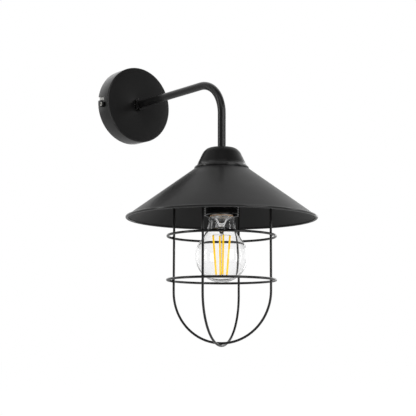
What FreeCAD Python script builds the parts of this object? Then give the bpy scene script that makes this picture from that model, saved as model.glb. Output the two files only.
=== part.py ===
import FreeCAD, Part
import math
import os

# Cage wall light: a round wall rose, a bent tube arm, a capped cone shade, a threaded
# lampholder, a wire cage hung inside the shade and a clear filament bulb.
# Millimetres.  Z is up, the wall is the plane y = 0, the light stands out towards -Y.
# The origin is the centre of the rose on the wall, which is also the arm's axis.

# ---------------------------------------------------------------- driving dimensions
# wall rose and its bracket
rose_diameter = 97.0
rose_depth = 22.0
rose_wall = 1.0
rose_slot_width = 4.7          # bayonet slots in the side of the rose
rose_notch_rise = 4.2          # open end of a slot, above the middle line
side_screw_drop = 4.65         # locked end of a slot, below the middle line
side_screw_depth = 11.0        # from the wall plane to the screw's axis
side_screw_diameter = 4.0
side_screw_head_diameter = 7.6
side_screw_head_height = 3.0
side_screw_length = 8.0
bracket_width = 20.0
bracket_thickness = 1.5
ear_width = 18.0
ear_overreach = 4.5            # ear past the side screw's axis
wall_slot_spacing = 60.0
wall_slot_length = 10.0
wall_slot_width = 4.5
# terminal block and earth point on the bracket
terminal_block_width = 20.0
terminal_block_height = 15.0
terminal_block_depth = 11.0
terminal_block_drop = 14.0     # top of the block below the arm's axis
terminal_hole_diameter = 3.4
terminal_screw_diameter = 4.0
terminal_screw_proud = 0.8
earth_screw_offset = 15.0
earth_screw_head_diameter = 7.0
earth_screw_head_height = 2.4
earth_tag_thickness = 0.5
earth_tag_width = 6.0
# arm
arm_reach = 188.0              # wall to the axis of the lamp head
arm_tube_diameter = 9.5
arm_tube_wall = 0.8
arm_bend_radius = 40.0
arm_end_inside_rose = 6.0      # tube past the inner face of the rose
arm_nut_across_flats = 14.0
arm_nut_thickness = 3.0
tooth_washer_diameter = 15.0
tooth_washer_thickness = 0.8
tooth_washer_teeth = 14
# cap over the lampholder
cap_top = 80.2                 # below the arm's axis
cap_height = 22.8
cap_crown_radius = 16.5
cap_crown_fall = 1.3
cap_shoulder_radius = 21.3
cap_shoulder_fall = 5.4
cap_foot_radius = 29.7
cap_wall = 1.0
# shade
shade_rim_radius = 110.0
shade_depth = 59.5             # top plate to the middle of the rim bead
shade_neck_radius = 31.6
shade_neck_height = 2.7
shade_wall = 1.0
shade_bead_diameter = 2.7
# lampholder
holder_thread_diameter = 40.0
holder_skirt_length = 62.0
holder_skirt_wall = 2.2
holder_overlap = 5.0           # skirt inside the dome
holder_dome_height = 16.5
holder_dome_wall = 2.2
holder_dome_top_radius = 15.0
holder_boss_radius = 7.5
holder_boss_height = 2.5
holder_arm_engagement = 5.5    # tube inside the dome
insert_flange_thickness = 2.0
insert_wall = 3.2
insert_chamber_depth = 28.0
insert_floor = 7.0
insert_mouth_inset = 3.0
screw_shell_wall = 0.4
screw_shell_inset = 2.0
screw_shell_eye_radius = 5.0
centre_contact_radius = 3.5
centre_contact_thickness = 0.6
centre_contact_drop = 2.0      # contact face below the insert's floor
contact_block_width = 6.0
contact_block_depth = 7.0
contact_block_height = 8.0
contact_block_offset = 7.5
contact_stem_radius = 1.2
contact_strap_thickness = 0.8
contact_screw_radius = 1.7
contact_screw_proud = 0.8
# rings on the lampholder thread
clamp_ring_radius = 28.0
clamp_ring_thickness = 6.0
# cage
cage_wire_diameter = 2.8
cage_bow_radius = 59.0
cage_bow_centre = 246.0        # below the arm's axis
cage_turn = 29.8               # degrees from +X to the plane of the lower bow
cage_upper_ring_level = 183.5
cage_lower_ring_level = 233.6
cage_shoulder_bend = 8.0
cage_knuckle_bend = 6.0
cage_tail_radius = 29.2        # inner end of each bow's tail
cage_knuckle_radius = 35.0
carrier_radius = 33.0
carrier_thickness = 1.5
# bulb
bulb_cap_diameter = 26.3
bulb_cap_length = 22.8
bulb_cap_chamfer = 2.6
bulb_insulator_radius = 9.2
bulb_insulator_height = 3.0
bulb_contact_radius = 5.0
bulb_contact_height = 0.8
bulb_cement_height = 1.2
bulb_neck_radius = 15.9
bulb_neck_length = 14.0
bulb_radius = 30.0
bulb_centre = 206.5            # below the arm's axis
bulb_glass_wall = 0.8
filament_length = 45.0
filament_diameter = 1.8
filament_drop = 21.0           # below the mouth of the glass
filament_top_radius = 9.9
filament_bottom_radius = 6.2
filament_turn = -28.0          # degrees from +X
filament_count = 4
lead_wire_diameter = 0.8
stem_flare_edge = 0.6
stem_height = 12.0
stem_tip_radius = 3.2
# wires
core_diameter = 2.0
core_spacing = 2.8             # between the two cores inside the arm

# clearances
seat_gap = 0.05                # welded or clamped pieces
slide_gap = 0.3                # pieces that pass through or turn in each other
contact_gap = 0.2              # bulb contact below the lampholder's contact
thread_gap = 0.1               # smooth flanks that stand for a cut thread

# drawing fineness
wire_sides = 8
small_sides = 12
tube_sides = 20
round_sides = 24
ring_sides = 36
cap_sides = 48
shade_sides = 72
ring_chords = 48
bend_step = 11.25              # degrees for one chord of a bend

# ---------------------------------------------------------------- derived places
rose_radius = rose_diameter / 2
rose_inner = rose_radius - rose_wall
rose_face = -rose_depth
rose_back = rose_face + rose_wall
tube_radius = arm_tube_diameter / 2
tube_bore = tube_radius - arm_tube_wall
head_axis = FreeCAD.Vector(0, -arm_reach, 0)
cap_foot = -(cap_top + cap_height)
plate_top = cap_foot
plate_under = plate_top - shade_wall
cone_top = plate_top - shade_neck_height
rim_level = plate_top - shade_depth
thread_radius = holder_thread_diameter / 2
skirt_top = plate_top + holder_overlap
skirt_mouth = skirt_top - holder_skirt_length
skirt_inner = thread_radius - holder_skirt_wall
dome_top = plate_top + holder_dome_height
insert_top = skirt_top + insert_flange_thickness
insert_floor_top = insert_top - insert_chamber_depth
insert_floor_under = insert_floor_top - insert_floor
insert_mouth = skirt_mouth + insert_mouth_inset
insert_outer = skirt_inner - slide_gap
contact_face = insert_floor_under - centre_contact_drop
bulb_top = contact_face - contact_gap
bulb_cap_top = bulb_top - bulb_contact_height - bulb_insulator_height
bulb_cap_end = bulb_cap_top - bulb_cap_length
bulb_cap_radius = bulb_cap_diameter / 2
glass_top = bulb_cap_end - bulb_cement_height
filament_top = filament_drop - glass_top
wire_radius = cage_wire_diameter / 2
core_radius = core_diameter / 2
ring_radius = cage_bow_radius + cage_wire_diameter + seat_gap
carrier_top = plate_under - clamp_ring_thickness
carrier_under = carrier_top - carrier_thickness
tail_level = carrier_under - wire_radius - seat_gap

NODES = {}


# ---------------------------------------------------------------- shape helpers
def turned(profile, origin, axis, sides=None):
    """Solid of a closed (radius, along) profile about an axis, round or many-sided."""
    if sides is None:
        ray = cross_axis(axis)
        ring = [origin + ray * r + axis * a for r, a in profile]
        face = Part.Face(Part.makePolygon(ring + [ring[0]]))
        return solid_of(face.revolve(origin, axis, 360))
    return many_sided(profile, origin, axis, sides)


def many_sided(profile, origin, axis, sides):
    """The same profile on a regular polygon whose flats lie at the given radii."""
    ray = cross_axis(axis)
    other = axis.cross(ray)
    stretch = 1 / math.cos(math.pi / sides)

    def corner(r, a, i):
        t = 2 * math.pi * (i + 0.5) / sides
        return origin + axis * a + (ray * math.cos(t) + other * math.sin(t)) * (r * stretch)

    faces = []
    for (r0, a0), (r1, a1) in zip(profile, profile[1:] + profile[:1]):
        for i in range(sides):
            quad = [corner(r0, a0, i), corner(r1, a1, i), corner(r1, a1, i + 1), corner(r0, a0, i + 1)]
            faces += flat_face(quad)
    return solid_of(Part.Solid(Part.Shell(faces))).removeSplitter()


def flat_face(points):
    """One planar face through the points, leaving out repeated ones."""
    ring = []
    for p in points:
        if not ring or (p - ring[-1]).Length > 1e-6:
            ring.append(p)
    if (ring[0] - ring[-1]).Length < 1e-6:
        ring.pop()
    return [Part.Face(Part.makePolygon(ring + [ring[0]]))] if len(ring) > 2 else []


def solid_of(shape):
    """The shape as one outward-facing solid."""
    solid = shape if shape.ShapeType == "Solid" else shape.Solids[0]
    if solid.Volume < 0:
        solid.reverse()
    return solid


def cross_axis(axis):
    """A unit direction square to the axis."""
    guide = FreeCAD.Vector(1, 0, 0) if abs(axis.x) < 0.9 else FreeCAD.Vector(0, 0, 1)
    return (guide - axis * guide.dot(axis)).normalize()


def sheet(outline, wall):
    """Closed section of a sheet: the outline and the same line one wall inside it."""
    inner = []
    last = len(outline) - 1
    for i, (r, z) in enumerate(outline):
        before = left_normal(outline[i - 1], outline[i]) if i > 0 else None
        after = left_normal(outline[i], outline[i + 1]) if i < last else None
        n0 = before or after
        n1 = after or before
        k = wall / (1 + n0[0] * n1[0] + n0[1] * n1[1])
        inner.append((r + (n0[0] + n1[0]) * k, z + (n0[1] + n1[1]) * k))
    return outline + inner[::-1]


def left_normal(a, b):
    """Unit normal on the side of the axis and of the underside, for a line going outwards."""
    dr, dz = b[0] - a[0], b[1] - a[1]
    n = math.hypot(dr, dz)
    return (dz / n, -dr / n)


def rounded_path(corners, radii):
    """Points of a path whose corners are bent to the given radii in short chords."""
    path = [corners[0]]
    for a, b, c, radius in zip(corners, corners[1:], corners[2:], radii):
        u = (b - a).normalize()
        w = (c - b).normalize()
        turn = math.acos(max(-1.0, min(1.0, u.dot(w))))
        if radius <= 0 or turn < 1e-6:
            path.append(b)
            continue
        start = b - u * (radius * math.tan(turn / 2))
        inward = (w - u * w.dot(u)).normalize()
        chords = max(1, math.ceil(math.degrees(turn) / bend_step))
        for i in range(chords + 1):
            t = turn * i / chords
            path.append(start + u * (radius * math.sin(t)) + inward * (radius * (1 - math.cos(t))))
    path.append(corners[-1])
    return path


def bar(path, radius, sides, side_way, closed=False):
    """Wire along a path, with mitred joints and flats at the given radius."""
    count = len(path)
    ways = [(path[(i + 1) % count] - path[i]).normalize() for i in range(count if closed else count - 1)]
    first = ways[0]
    across = (side_way - first * side_way.dot(first)).normalize()
    up = first.cross(across)
    reach = radius / math.cos(math.pi / sides)
    turns = [2 * math.pi * (i + 0.5) / sides for i in range(sides)]
    centre = (path[0] + path[1]) * 0.5 if closed else path[0]
    section = [centre + (across * math.cos(t) + up * math.sin(t)) * reach for t in turns]
    rings = [section]
    for i in range(1, count + 1 if closed else count):
        here = path[i % count]
        come = ways[i - 1]
        go = ways[i % count] if closed or i < count - 1 else come
        plane = come + go
        section = [p + come * ((here - p).dot(plane) / come.dot(plane)) for p in section]
        rings.append(section)
    if closed:
        rings = rings[1:] + [rings[1]]
    faces = []
    for low, high in zip(rings, rings[1:]):
        for i in range(sides):
            j = (i + 1) % sides
            faces += flat_face([low[i], low[j], high[j], high[i]])
    if not closed:
        faces += flat_face(rings[0]) + flat_face(rings[-1])
    return solid_of(Part.Solid(Part.Shell(faces)))


def rod(a, b, radius, sides=None):
    """Straight round or many-sided rod from a to b."""
    way = (b - a).normalize()
    if sides is None:
        return Part.makeCylinder(radius, (b - a).Length, a, way)
    return many_sided([(0, 0), (radius, 0), (radius, (b - a).Length), (0, (b - a).Length)], a, way, sides)


def box(x, y, z):
    """Box between the two values of each axis."""
    corner = FreeCAD.Vector(min(x), min(y), min(z))
    return Part.makeBox(abs(x[1] - x[0]), abs(y[1] - y[0]), abs(z[1] - z[0]), corner)


def slot_tool(centre, length, width, depth):
    """Round-ended slot along X, cut through along Y."""
    half = (length - width) / 2
    ends = [FreeCAD.Vector(centre.x + s * half, centre.y, centre.z) for s in (-1, 1)]
    tools = [Part.makeCylinder(width / 2, depth, p, FreeCAD.Vector(0, 1, 0)) for p in ends]
    middle = box((ends[0].x, ends[1].x), (centre.y, centre.y + depth), (centre.z - width / 2, centre.z + width / 2))
    return tools[0].fuse([tools[1], middle]).removeSplitter()


def add(name, *solids):
    """Keep the solids of one named piece."""
    NODES[name] = solids[0] if len(solids) == 1 else Part.makeCompound(list(solids))


X = FreeCAD.Vector(1, 0, 0)
Y = FreeCAD.Vector(0, 1, 0)
Z = FreeCAD.Vector(0, 0, 1)


def head(x, y, z):
    """A point given from the axis of the lamp head."""
    return head_axis + FreeCAD.Vector(x, y, z)


def spoke(angle):
    """Level unit direction at an angle from +X."""
    t = math.radians(angle)
    return FreeCAD.Vector(math.cos(t), math.sin(t), 0)


# ---------------------------------------------------------------- rose and bracket
ear_face = math.sqrt((rose_inner - slide_gap) ** 2 - (ear_width / 2) ** 2)


def rose_slot(side):
    """Bayonet slot: in from the open edge, then round to the locked screw."""
    low = side_screw_drop * side
    high = -rose_notch_rise * side
    half = rose_slot_width / 2
    reach = (side * (rose_inner - 6), side * (rose_radius + 3))
    notch = box(reach, (-side_screw_depth - half, 1), (high - half, high + half))
    run = box(reach, (-side_screw_depth - half, -side_screw_depth + half), (low + side * half, high))
    return [notch, run]


def make_rose_cover():
    """Shallow cup, open to the wall, with a hole for the arm and two bayonet slots."""
    hole = tube_radius + slide_gap
    profile = [(hole, rose_face), (rose_radius, rose_face), (rose_radius, 0), (rose_inner, 0)]
    profile += [(rose_inner, rose_back), (hole, rose_back)]
    cup = turned(profile, FreeCAD.Vector(0, 0, 0), Y)
    add("rose_cover", cup.cut(rose_slot(1) + rose_slot(-1)).Solids[0])


def make_wall_bracket():
    """Bar screwed to the wall, with an ear at each end and a tab for the terminal block."""
    ear_reach = side_screw_depth + ear_overreach
    neck = ear_face - bracket_thickness - 1
    plate = box((-neck, neck), (-bracket_thickness, 0), (-bracket_width / 2, bracket_width / 2))
    pieces = []
    for side in (-1, 1):
        ear_way = (-ear_width / 2, ear_width / 2)
        pieces.append(box((side * neck, side * ear_face), (-bracket_thickness, 0), ear_way))
        pieces.append(box((side * (ear_face - bracket_thickness), side * ear_face), (-ear_reach, 0), ear_way))
    tab_foot = terminal_block_drop + terminal_block_height + 2
    tab_way = (-terminal_block_width / 2, terminal_block_width / 2)
    pieces.append(box(tab_way, (-bracket_thickness, 0), (-tab_foot, 0)))
    shape = plate.fuse(pieces).removeSplitter()
    bore = side_screw_diameter / 2 + thread_gap
    through = bracket_thickness + 2
    tools = [rod(FreeCAD.Vector(earth_screw_offset, 1, 0), FreeCAD.Vector(earth_screw_offset, -through, 0),
                 bore, small_sides)]
    for side in (-1, 1):
        at = FreeCAD.Vector(side * wall_slot_spacing / 2, -bracket_thickness - 1, 0)
        tools.append(slot_tool(at, wall_slot_length, wall_slot_width, through))
        start = FreeCAD.Vector(side * neck, -side_screw_depth, side * side_screw_drop)
        tools.append(Part.makeCylinder(bore, bracket_thickness + 3, start, X * side))
    add("wall_bracket", solid_of(shape.cut(tools)))


def make_side_screws():
    """Two screws that lock the rose, at the closed ends of its bayonet slots."""
    screws = []
    for side in (-1, 1):
        seat = rose_radius + slide_gap / 2
        under = FreeCAD.Vector(side * seat, -side_screw_depth, side * side_screw_drop)
        head_part = Part.makeCylinder(side_screw_head_diameter / 2, side_screw_head_height, under, X * side)
        shank = rod(under, under - X * (side * side_screw_length), side_screw_diameter / 2, small_sides)
        screws.append(solid_of(head_part.fuse(shank)))
    add("side_screws", *screws)


# ---------------------------------------------------------------- arm
def arm_line(offset, start_y, end_z):
    """Path that follows the arm's axis, moved sideways by the offset."""
    a = FreeCAD.Vector(offset, start_y, 0)
    b = FreeCAD.Vector(offset, -arm_reach, 0)
    c = FreeCAD.Vector(offset, -arm_reach, end_z)
    return [a, b, c]


tube_start = rose_back + arm_end_inside_rose
tube_end = dome_top - holder_arm_engagement


def make_arm_tube():
    """Tube out of the rose, bent down to the lampholder; its ends are threaded."""
    path = rounded_path(arm_line(0, tube_start, tube_end), [arm_bend_radius])
    outer = bar(path, tube_radius, tube_sides, X)
    add("arm_tube", solid_of(outer.cut(bar(path, tube_bore, wire_sides, X))))


def hex_nut(origin, axis):
    """Thin hexagon nut with a smooth bore."""
    blank = many_sided(
        [(0, 0), (arm_nut_across_flats / 2, 0), (arm_nut_across_flats / 2, arm_nut_thickness), (0, arm_nut_thickness)],
        origin, axis, 6,
    )
    return solid_of(blank.cut(arm_bore(origin, axis, arm_nut_thickness)))


def arm_bore(origin, axis, length):
    """Tool for a hole that the arm's thread fills."""
    return rod(origin, origin + axis * length, tube_radius + thread_gap, small_sides)


def make_arm_fixing():
    """Nut and toothed washer outside the rose; earth tag and nut inside it."""
    washer_face = rose_face - tooth_washer_thickness
    add("arm_tooth_washer", tooth_washer(rose_face, -Y))
    add("arm_outer_nut", hex_nut(FreeCAD.Vector(0, washer_face, 0), -Y))
    tag_face = rose_back + earth_tag_thickness
    add("arm_inner_nut", hex_nut(FreeCAD.Vector(0, tag_face, 0), Y))
    bore = tube_radius + thread_gap
    eye = many_sided([(0, 0), (bore + 2.5, 0), (bore + 2.5, earth_tag_thickness), (0, earth_tag_thickness)],
                     FreeCAD.Vector(0, rose_back, 0), Y, small_sides)
    half = earth_tag_width / 2
    tongue = box((0, earth_screw_offset), (rose_back, tag_face), (-half, half))
    tag = eye.fuse(tongue).removeSplitter()
    tag = tag.cut(arm_bore(FreeCAD.Vector(0, rose_back, 0), Y, earth_tag_thickness))
    add("earth_tag", solid_of(tag))


def tooth_washer(level, axis):
    """Flat washer with a saw-toothed edge."""
    origin = FreeCAD.Vector(0, level, 0)
    points = []
    for i in range(2 * tooth_washer_teeth):
        r = tooth_washer_diameter / 2 - (0.9 if i % 2 else 0)
        t = math.pi * i / tooth_washer_teeth
        points.append(origin + FreeCAD.Vector(r * math.cos(t), 0, r * math.sin(t)))
    blank = Part.Face(Part.makePolygon(points + [points[0]])).extrude(axis * tooth_washer_thickness)
    return solid_of(blank.cut(arm_bore(origin, axis, tooth_washer_thickness)))


# ---------------------------------------------------------------- wiring in the rose and arm
block_top = -terminal_block_drop
block_face = -bracket_thickness - terminal_block_depth
block_middle = -bracket_thickness - terminal_block_depth / 2
pole_offset = terminal_block_width / 4
core_entry = 4.0


def make_terminal_block():
    """Two-pole block on the bracket's tab, with its clamp screws."""
    low = block_top - terminal_block_height
    half = terminal_block_width / 2
    block = box((-half, half), (-bracket_thickness, block_face), (low, block_top))
    screws = []
    for side in (-1, 1):
        foot = FreeCAD.Vector(side * pole_offset, block_middle, low - 1)
        block = block.cut(rod(foot, foot + Z * (terminal_block_height + 2), terminal_hole_diameter / 2, wire_sides))
        for share in (0.27, 0.73):
            at = FreeCAD.Vector(side * pole_offset, block_face, low + share * terminal_block_height)
            screws.append(rod(at, at - Y * terminal_screw_proud, terminal_screw_diameter / 2, small_sides))
    add("terminal_block", solid_of(block))
    add("terminal_screws", *screws)


def make_cores():
    """Live and neutral cores, whole from the terminal block through the arm to the lampholder."""
    for side, name in ((-1, "live_wire"), (1, "neutral_wire")):
        x = side * core_spacing / 2
        pole = side * pole_offset
        clamp = side * contact_block_offset
        spread = tube_end - 3
        down = insert_floor_top + contact_block_height
        corners = [FreeCAD.Vector(pole, block_middle, block_top - core_entry)]
        corners += [FreeCAD.Vector(pole, block_middle, block_top + 5), FreeCAD.Vector(x, block_middle - 1, 0)]
        corners += [FreeCAD.Vector(x, -arm_reach, 0), FreeCAD.Vector(x, -arm_reach, spread)]
        corners += [FreeCAD.Vector(clamp, -arm_reach, down + 6), FreeCAD.Vector(clamp, -arm_reach, down)]
        path = rounded_path(corners, [3, 3, arm_bend_radius, 4, 4])
        add(name, bar(path, core_radius, 6, X))


def make_earth():
    """Earth screw in the bracket and the core that joins it to the tag on the arm."""
    seat = FreeCAD.Vector(earth_screw_offset, -bracket_thickness, 0)
    head_part = rod(seat, seat - Y * earth_screw_head_height, earth_screw_head_diameter / 2, small_sides)
    shank = rod(seat, seat + Y * bracket_thickness, side_screw_diameter / 2, small_sides)
    add("earth_screw", solid_of(head_part.fuse(shank).removeSplitter()))
    tip = rose_back + earth_tag_thickness
    a = FreeCAD.Vector(earth_screw_offset - 3, tip, 0)
    c = FreeCAD.Vector(earth_screw_offset, seat.y - earth_screw_head_height, 0)
    corners = [a, a + Y * 5, c - Y * 5, c]
    add("earth_wire", bar(rounded_path(corners, [4, 4]), core_radius, 6, X))


# ---------------------------------------------------------------- cap and shade
def make_shade_cap():
    """Spun cap that slides on the arm and covers the top of the lampholder."""
    hole = tube_radius + slide_gap
    outline = [(hole, -cap_top), (cap_crown_radius, -cap_top - cap_crown_fall)]
    outline += [(cap_shoulder_radius, -cap_top - cap_shoulder_fall), (cap_foot_radius, cap_foot)]
    section = flush_ends(sheet(outline, cap_wall), hole, cap_foot)
    add("shade_cap", turned(section, head_axis, Z, cap_sides))


def flush_ends(section, hole, foot):
    """Square off a sheet section at its hole and at its foot."""
    half = len(section) // 2
    outer, inner = section[:half], section[half:]
    inner[-1] = on_line(inner[-2], inner[-1], 0, hole)
    inner[0] = on_line(inner[1], inner[0], 1, foot)
    return outer + inner


def on_line(a, b, index, value):
    """Point of the line through a and b where one coordinate has the given value."""
    t = (value - a[index]) / (b[index] - a[index])
    return (a[0] + (b[0] - a[0]) * t, a[1] + (b[1] - a[1]) * t)


bead_radius = shade_bead_diameter / 2
bead_centre = shade_rim_radius - bead_radius
cone_run = bead_centre - shade_neck_radius
cone_fall = cone_top - rim_level
cone_angle = math.atan2(cone_fall, cone_run)


def make_shade():
    """Spun cone with a flat clamping plate, a short neck and a rolled rim bead."""
    hole = thread_radius + slide_gap
    half = shade_wall / 2
    back = math.sqrt(bead_radius ** 2 - half ** 2)
    outline = [(hole, plate_top), (shade_neck_radius - 0.6, plate_top), (shade_neck_radius, cone_top)]
    outline.append(beside_rim(-back, half))
    section = flush_hole(sheet(outline, shade_wall), hole)
    turns = [math.radians(60 - 60 * i) for i in range(5)]
    bead = [(bead_centre + bead_radius * math.cos(t), rim_level + bead_radius * math.sin(t)) for t in turns]
    corners = section[:len(outline)] + bead + section[len(outline):]
    add("shade", turned(corners, head_axis, Z, shade_sides))


def beside_rim(along, across):
    """Point of the shade's section, from the bead's centre: down the cone and out of it."""
    c, s = math.cos(cone_angle), math.sin(cone_angle)
    return (bead_centre + c * along + s * across, rim_level - s * along + c * across)


def flush_hole(section, hole):
    """Keep the edge of a sheet's hole upright."""
    section[-1] = (hole, section[-1][1])
    return section


# ---------------------------------------------------------------- lampholder
def make_holder_dome():
    """Upper half of the lampholder: takes the arm's thread and covers the terminals."""
    bore = thread_radius + slide_gap
    outer = bore + holder_dome_wall
    ceiling = dome_top - holder_dome_wall
    boss_top = dome_top + holder_boss_height
    hole = tube_radius + thread_gap
    profile = [(hole, boss_top), (holder_boss_radius, boss_top), (holder_boss_radius, dome_top)]
    profile += [(holder_dome_top_radius, dome_top), (outer, dome_top - 6), (outer, plate_top)]
    profile += [(bore, plate_top), (bore, insert_top + 1), (holder_dome_top_radius - 1, ceiling), (hole, ceiling)]
    add("holder_dome", turned(profile, head_axis, Z, round_sides))


def make_holder_skirt():
    """Threaded barrel that hangs into the shade around the bulb's cap."""
    profile = [(skirt_inner, skirt_top), (thread_radius, skirt_top)]
    profile += [(thread_radius, skirt_mouth), (skirt_inner, skirt_mouth)]
    add("holder_skirt", turned(profile, head_axis, Z, ring_sides))


def make_holder_insert():
    """Insulating insert: a chamber for the terminals above, a sleeve for the shell below."""
    shrink = math.cos(math.pi / round_sides)
    outer = insert_outer * shrink
    inner = outer - insert_wall
    flange = (thread_radius - slide_gap) * shrink
    profile = [(inner, insert_top), (flange, insert_top), (flange, skirt_top), (outer, skirt_top)]
    profile += [(outer, insert_mouth), (inner, insert_mouth), (inner, insert_floor_under), (0, insert_floor_under)]
    profile += [(0, insert_floor_top), (inner, insert_floor_top)]
    body = turned(profile, head_axis, Z, round_sides)
    for x in (0, contact_block_offset):
        low = head(x, 0, insert_floor_under - 1)
        body = body.cut(rod(low, low + Z * (insert_floor + 2), contact_stem_radius + seat_gap, small_sides))
    add("holder_insert", solid_of(body))


def make_screw_shell():
    """Thin metal sleeve that takes the bulb's screw cap."""
    outer = insert_outer * math.cos(math.pi / round_sides) - insert_wall - seat_gap
    inner = outer - screw_shell_wall
    low = insert_mouth + screw_shell_inset
    step = insert_floor_under - screw_shell_wall
    profile = [(screw_shell_eye_radius, insert_floor_under), (outer, insert_floor_under), (outer, low)]
    profile += [(inner, low), (inner, step), (screw_shell_eye_radius, step)]
    add("screw_shell", turned(profile, head_axis, Z, round_sides))


def contact_block(x):
    """Clamp block on the insert's floor."""
    width = (x - contact_block_width / 2, x + contact_block_width / 2)
    depth = (-arm_reach - contact_block_depth / 2, -arm_reach + contact_block_depth / 2)
    return box(width, depth, (insert_floor_top, insert_floor_top + contact_block_height))


def make_contacts():
    """Live contact under the insert's floor, neutral pin to the shell, and their clamp screws."""
    strap_top = insert_floor_top + contact_strap_thickness
    strap_y = (-arm_reach - 2, -arm_reach + 2)
    strap = box((-contact_block_offset, contact_stem_radius + 0.6), strap_y, (insert_floor_top, strap_top))
    top = contact_face + centre_contact_thickness
    stem = rod(head(0, 0, insert_floor_top), head(0, 0, top), contact_stem_radius, small_sides)
    button = rod(head(0, 0, top), head(0, 0, contact_face), centre_contact_radius, small_sides)
    live = contact_block(-contact_block_offset).fuse([strap, stem, button]).removeSplitter()
    add("live_contact", solid_of(live))
    pin_top = head(contact_block_offset, 0, insert_floor_top)
    pin = rod(pin_top, pin_top - Z * insert_floor, contact_stem_radius, small_sides)
    add("neutral_contact", solid_of(contact_block(contact_block_offset).fuse(pin).removeSplitter()))
    screws = []
    for x in (-contact_block_offset, contact_block_offset):
        at = head(x, -contact_block_depth / 2, insert_floor_top + contact_block_height / 2)
        screws.append(rod(at, at - Y * contact_screw_proud, contact_screw_radius, small_sides))
    add("contact_screws", *screws)


def clamp_ring(top):
    """Ribbed ring that runs on the lampholder's thread."""
    bore = thread_radius + thread_gap
    profile = [(bore, top), (clamp_ring_radius, top), (clamp_ring_radius, top - clamp_ring_thickness)]
    profile += [(bore, top - clamp_ring_thickness)]
    return turned(profile, head_axis, Z, ring_sides)


def make_clamp_rings():
    """Upper ring clamps the shade against the dome, lower ring clamps the cage's carrier."""
    add("shade_ring", clamp_ring(plate_under))
    add("cage_ring_nut", clamp_ring(carrier_under))


# ---------------------------------------------------------------- cage
def bow_path(centre_level):
    """Half of a bow, as (radius, height) corners from the tail to the start of the arc."""
    fall = (cage_bow_radius - cage_knuckle_radius) * math.tan(cone_angle)
    return [(cage_tail_radius, tail_level), (cage_knuckle_radius, tail_level),
            (cage_bow_radius, tail_level - fall), (cage_bow_radius, centre_level)]


def make_bow(name, angle, centre_level):
    """One wire: tail under the carrier, along the shade, straight leg, round bottom and back up."""
    way = spoke(angle)
    legs = []
    for side in (-1, 1):
        corners = [head(0, 0, z) + way * (side * r) for r, z in bow_path(centre_level)]
        legs.append(rounded_path(corners, [cage_knuckle_bend, cage_shoulder_bend]))
    chords = ring_chords // 2
    arc = []
    for i in range(1, chords):
        t = math.pi * i / chords
        drop = FreeCAD.Vector(0, 0, -cage_bow_radius * math.sin(t))
        arc.append(head(0, 0, centre_level) - way * (cage_bow_radius * math.cos(t)) + drop)
    path = legs[0] + arc + legs[1][::-1]
    add(name, bar(path, wire_radius, wire_sides, way.cross(Z)))


def make_ring(name, level):
    """Closed hoop welded round the outside of the bows."""
    turns = [2 * math.pi * i / ring_chords for i in range(ring_chords)]
    reach = ring_radius / math.cos(math.pi / ring_chords)
    path = [head(reach * math.cos(t), reach * math.sin(t), -level) for t in turns]
    add(name, bar(path, wire_radius, wire_sides, Z, closed=True))


def make_cage():
    """Carrier washer, two crossing bows and two hoops."""
    hole = thread_radius + slide_gap
    profile = [(hole, carrier_top), (carrier_radius, carrier_top)]
    profile += [(carrier_radius, carrier_under), (hole, carrier_under)]
    add("cage_carrier", turned(profile, head_axis, Z, ring_sides))
    make_bow("cage_upper_bow", cage_turn - 90, -cage_bow_centre)
    make_bow("cage_lower_bow", cage_turn, -cage_bow_centre - cage_wire_diameter - seat_gap)
    make_ring("cage_upper_ring", cage_upper_ring_level)
    make_ring("cage_lower_ring", cage_lower_ring_level)


# ---------------------------------------------------------------- bulb
def make_bulb_base():
    """Contact, insulator, screw cap and the cement that joins cap and glass."""
    contact_low = bulb_top - bulb_contact_height
    profile = [(0, bulb_top), (bulb_contact_radius, bulb_top), (bulb_contact_radius, contact_low), (0, contact_low)]
    add("bulb_contact", turned(profile, head_axis, Z, small_sides))
    profile = [(0, contact_low), (bulb_contact_radius, contact_low), (bulb_insulator_radius, bulb_cap_top)]
    profile += [(0, bulb_cap_top)]
    add("bulb_insulator", turned(profile, head_axis, Z, round_sides))
    shoulder = bulb_cap_top - bulb_cap_chamfer
    profile = [(0, bulb_cap_top), (bulb_cap_radius - bulb_cap_chamfer, bulb_cap_top), (bulb_cap_radius, shoulder)]
    profile += [(bulb_cap_radius, bulb_cap_end), (0, bulb_cap_end)]
    add("bulb_cap", turned(profile, head_axis, Z, ring_sides))
    profile = [(bulb_cap_radius - 1.2, bulb_cap_end), (bulb_cap_radius + 0.3, bulb_cap_end)]
    profile += [(bulb_cap_radius + 0.3, glass_top), (bulb_cap_radius - 1.2, glass_top)]
    add("bulb_cement", turned(profile, head_axis, Z, round_sides))


def sphere_points(radius, angles):
    """Points of the globe, by angle from its lowest point."""
    turns = [math.radians(a) for a in angles]
    return [(radius * math.sin(t), -bulb_centre - radius * math.cos(t)) for t in turns]


def make_bulb_glass():
    """Clear globe on a tapering neck, thin-walled."""
    neck_end = glass_top - bulb_neck_length
    outer = [(bulb_cap_radius, glass_top), (bulb_neck_radius, glass_top - 2.2)]
    outer += [(bulb_neck_radius + 1.4, neck_end)]
    outer += sphere_points(bulb_radius, (125, 103, 80, 57, 34, 14, 0))
    inner = [(bulb_cap_radius - bulb_glass_wall, glass_top), (bulb_neck_radius - bulb_glass_wall, glass_top - 2.6)]
    inner += [(bulb_neck_radius + 1.4 - bulb_glass_wall, neck_end)]
    inner += sphere_points(bulb_radius - 1.6 * bulb_glass_wall, (122, 90, 50, 0))
    add("bulb_glass", turned(outer + inner[::-1], head_axis, Z, ring_sides))


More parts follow.
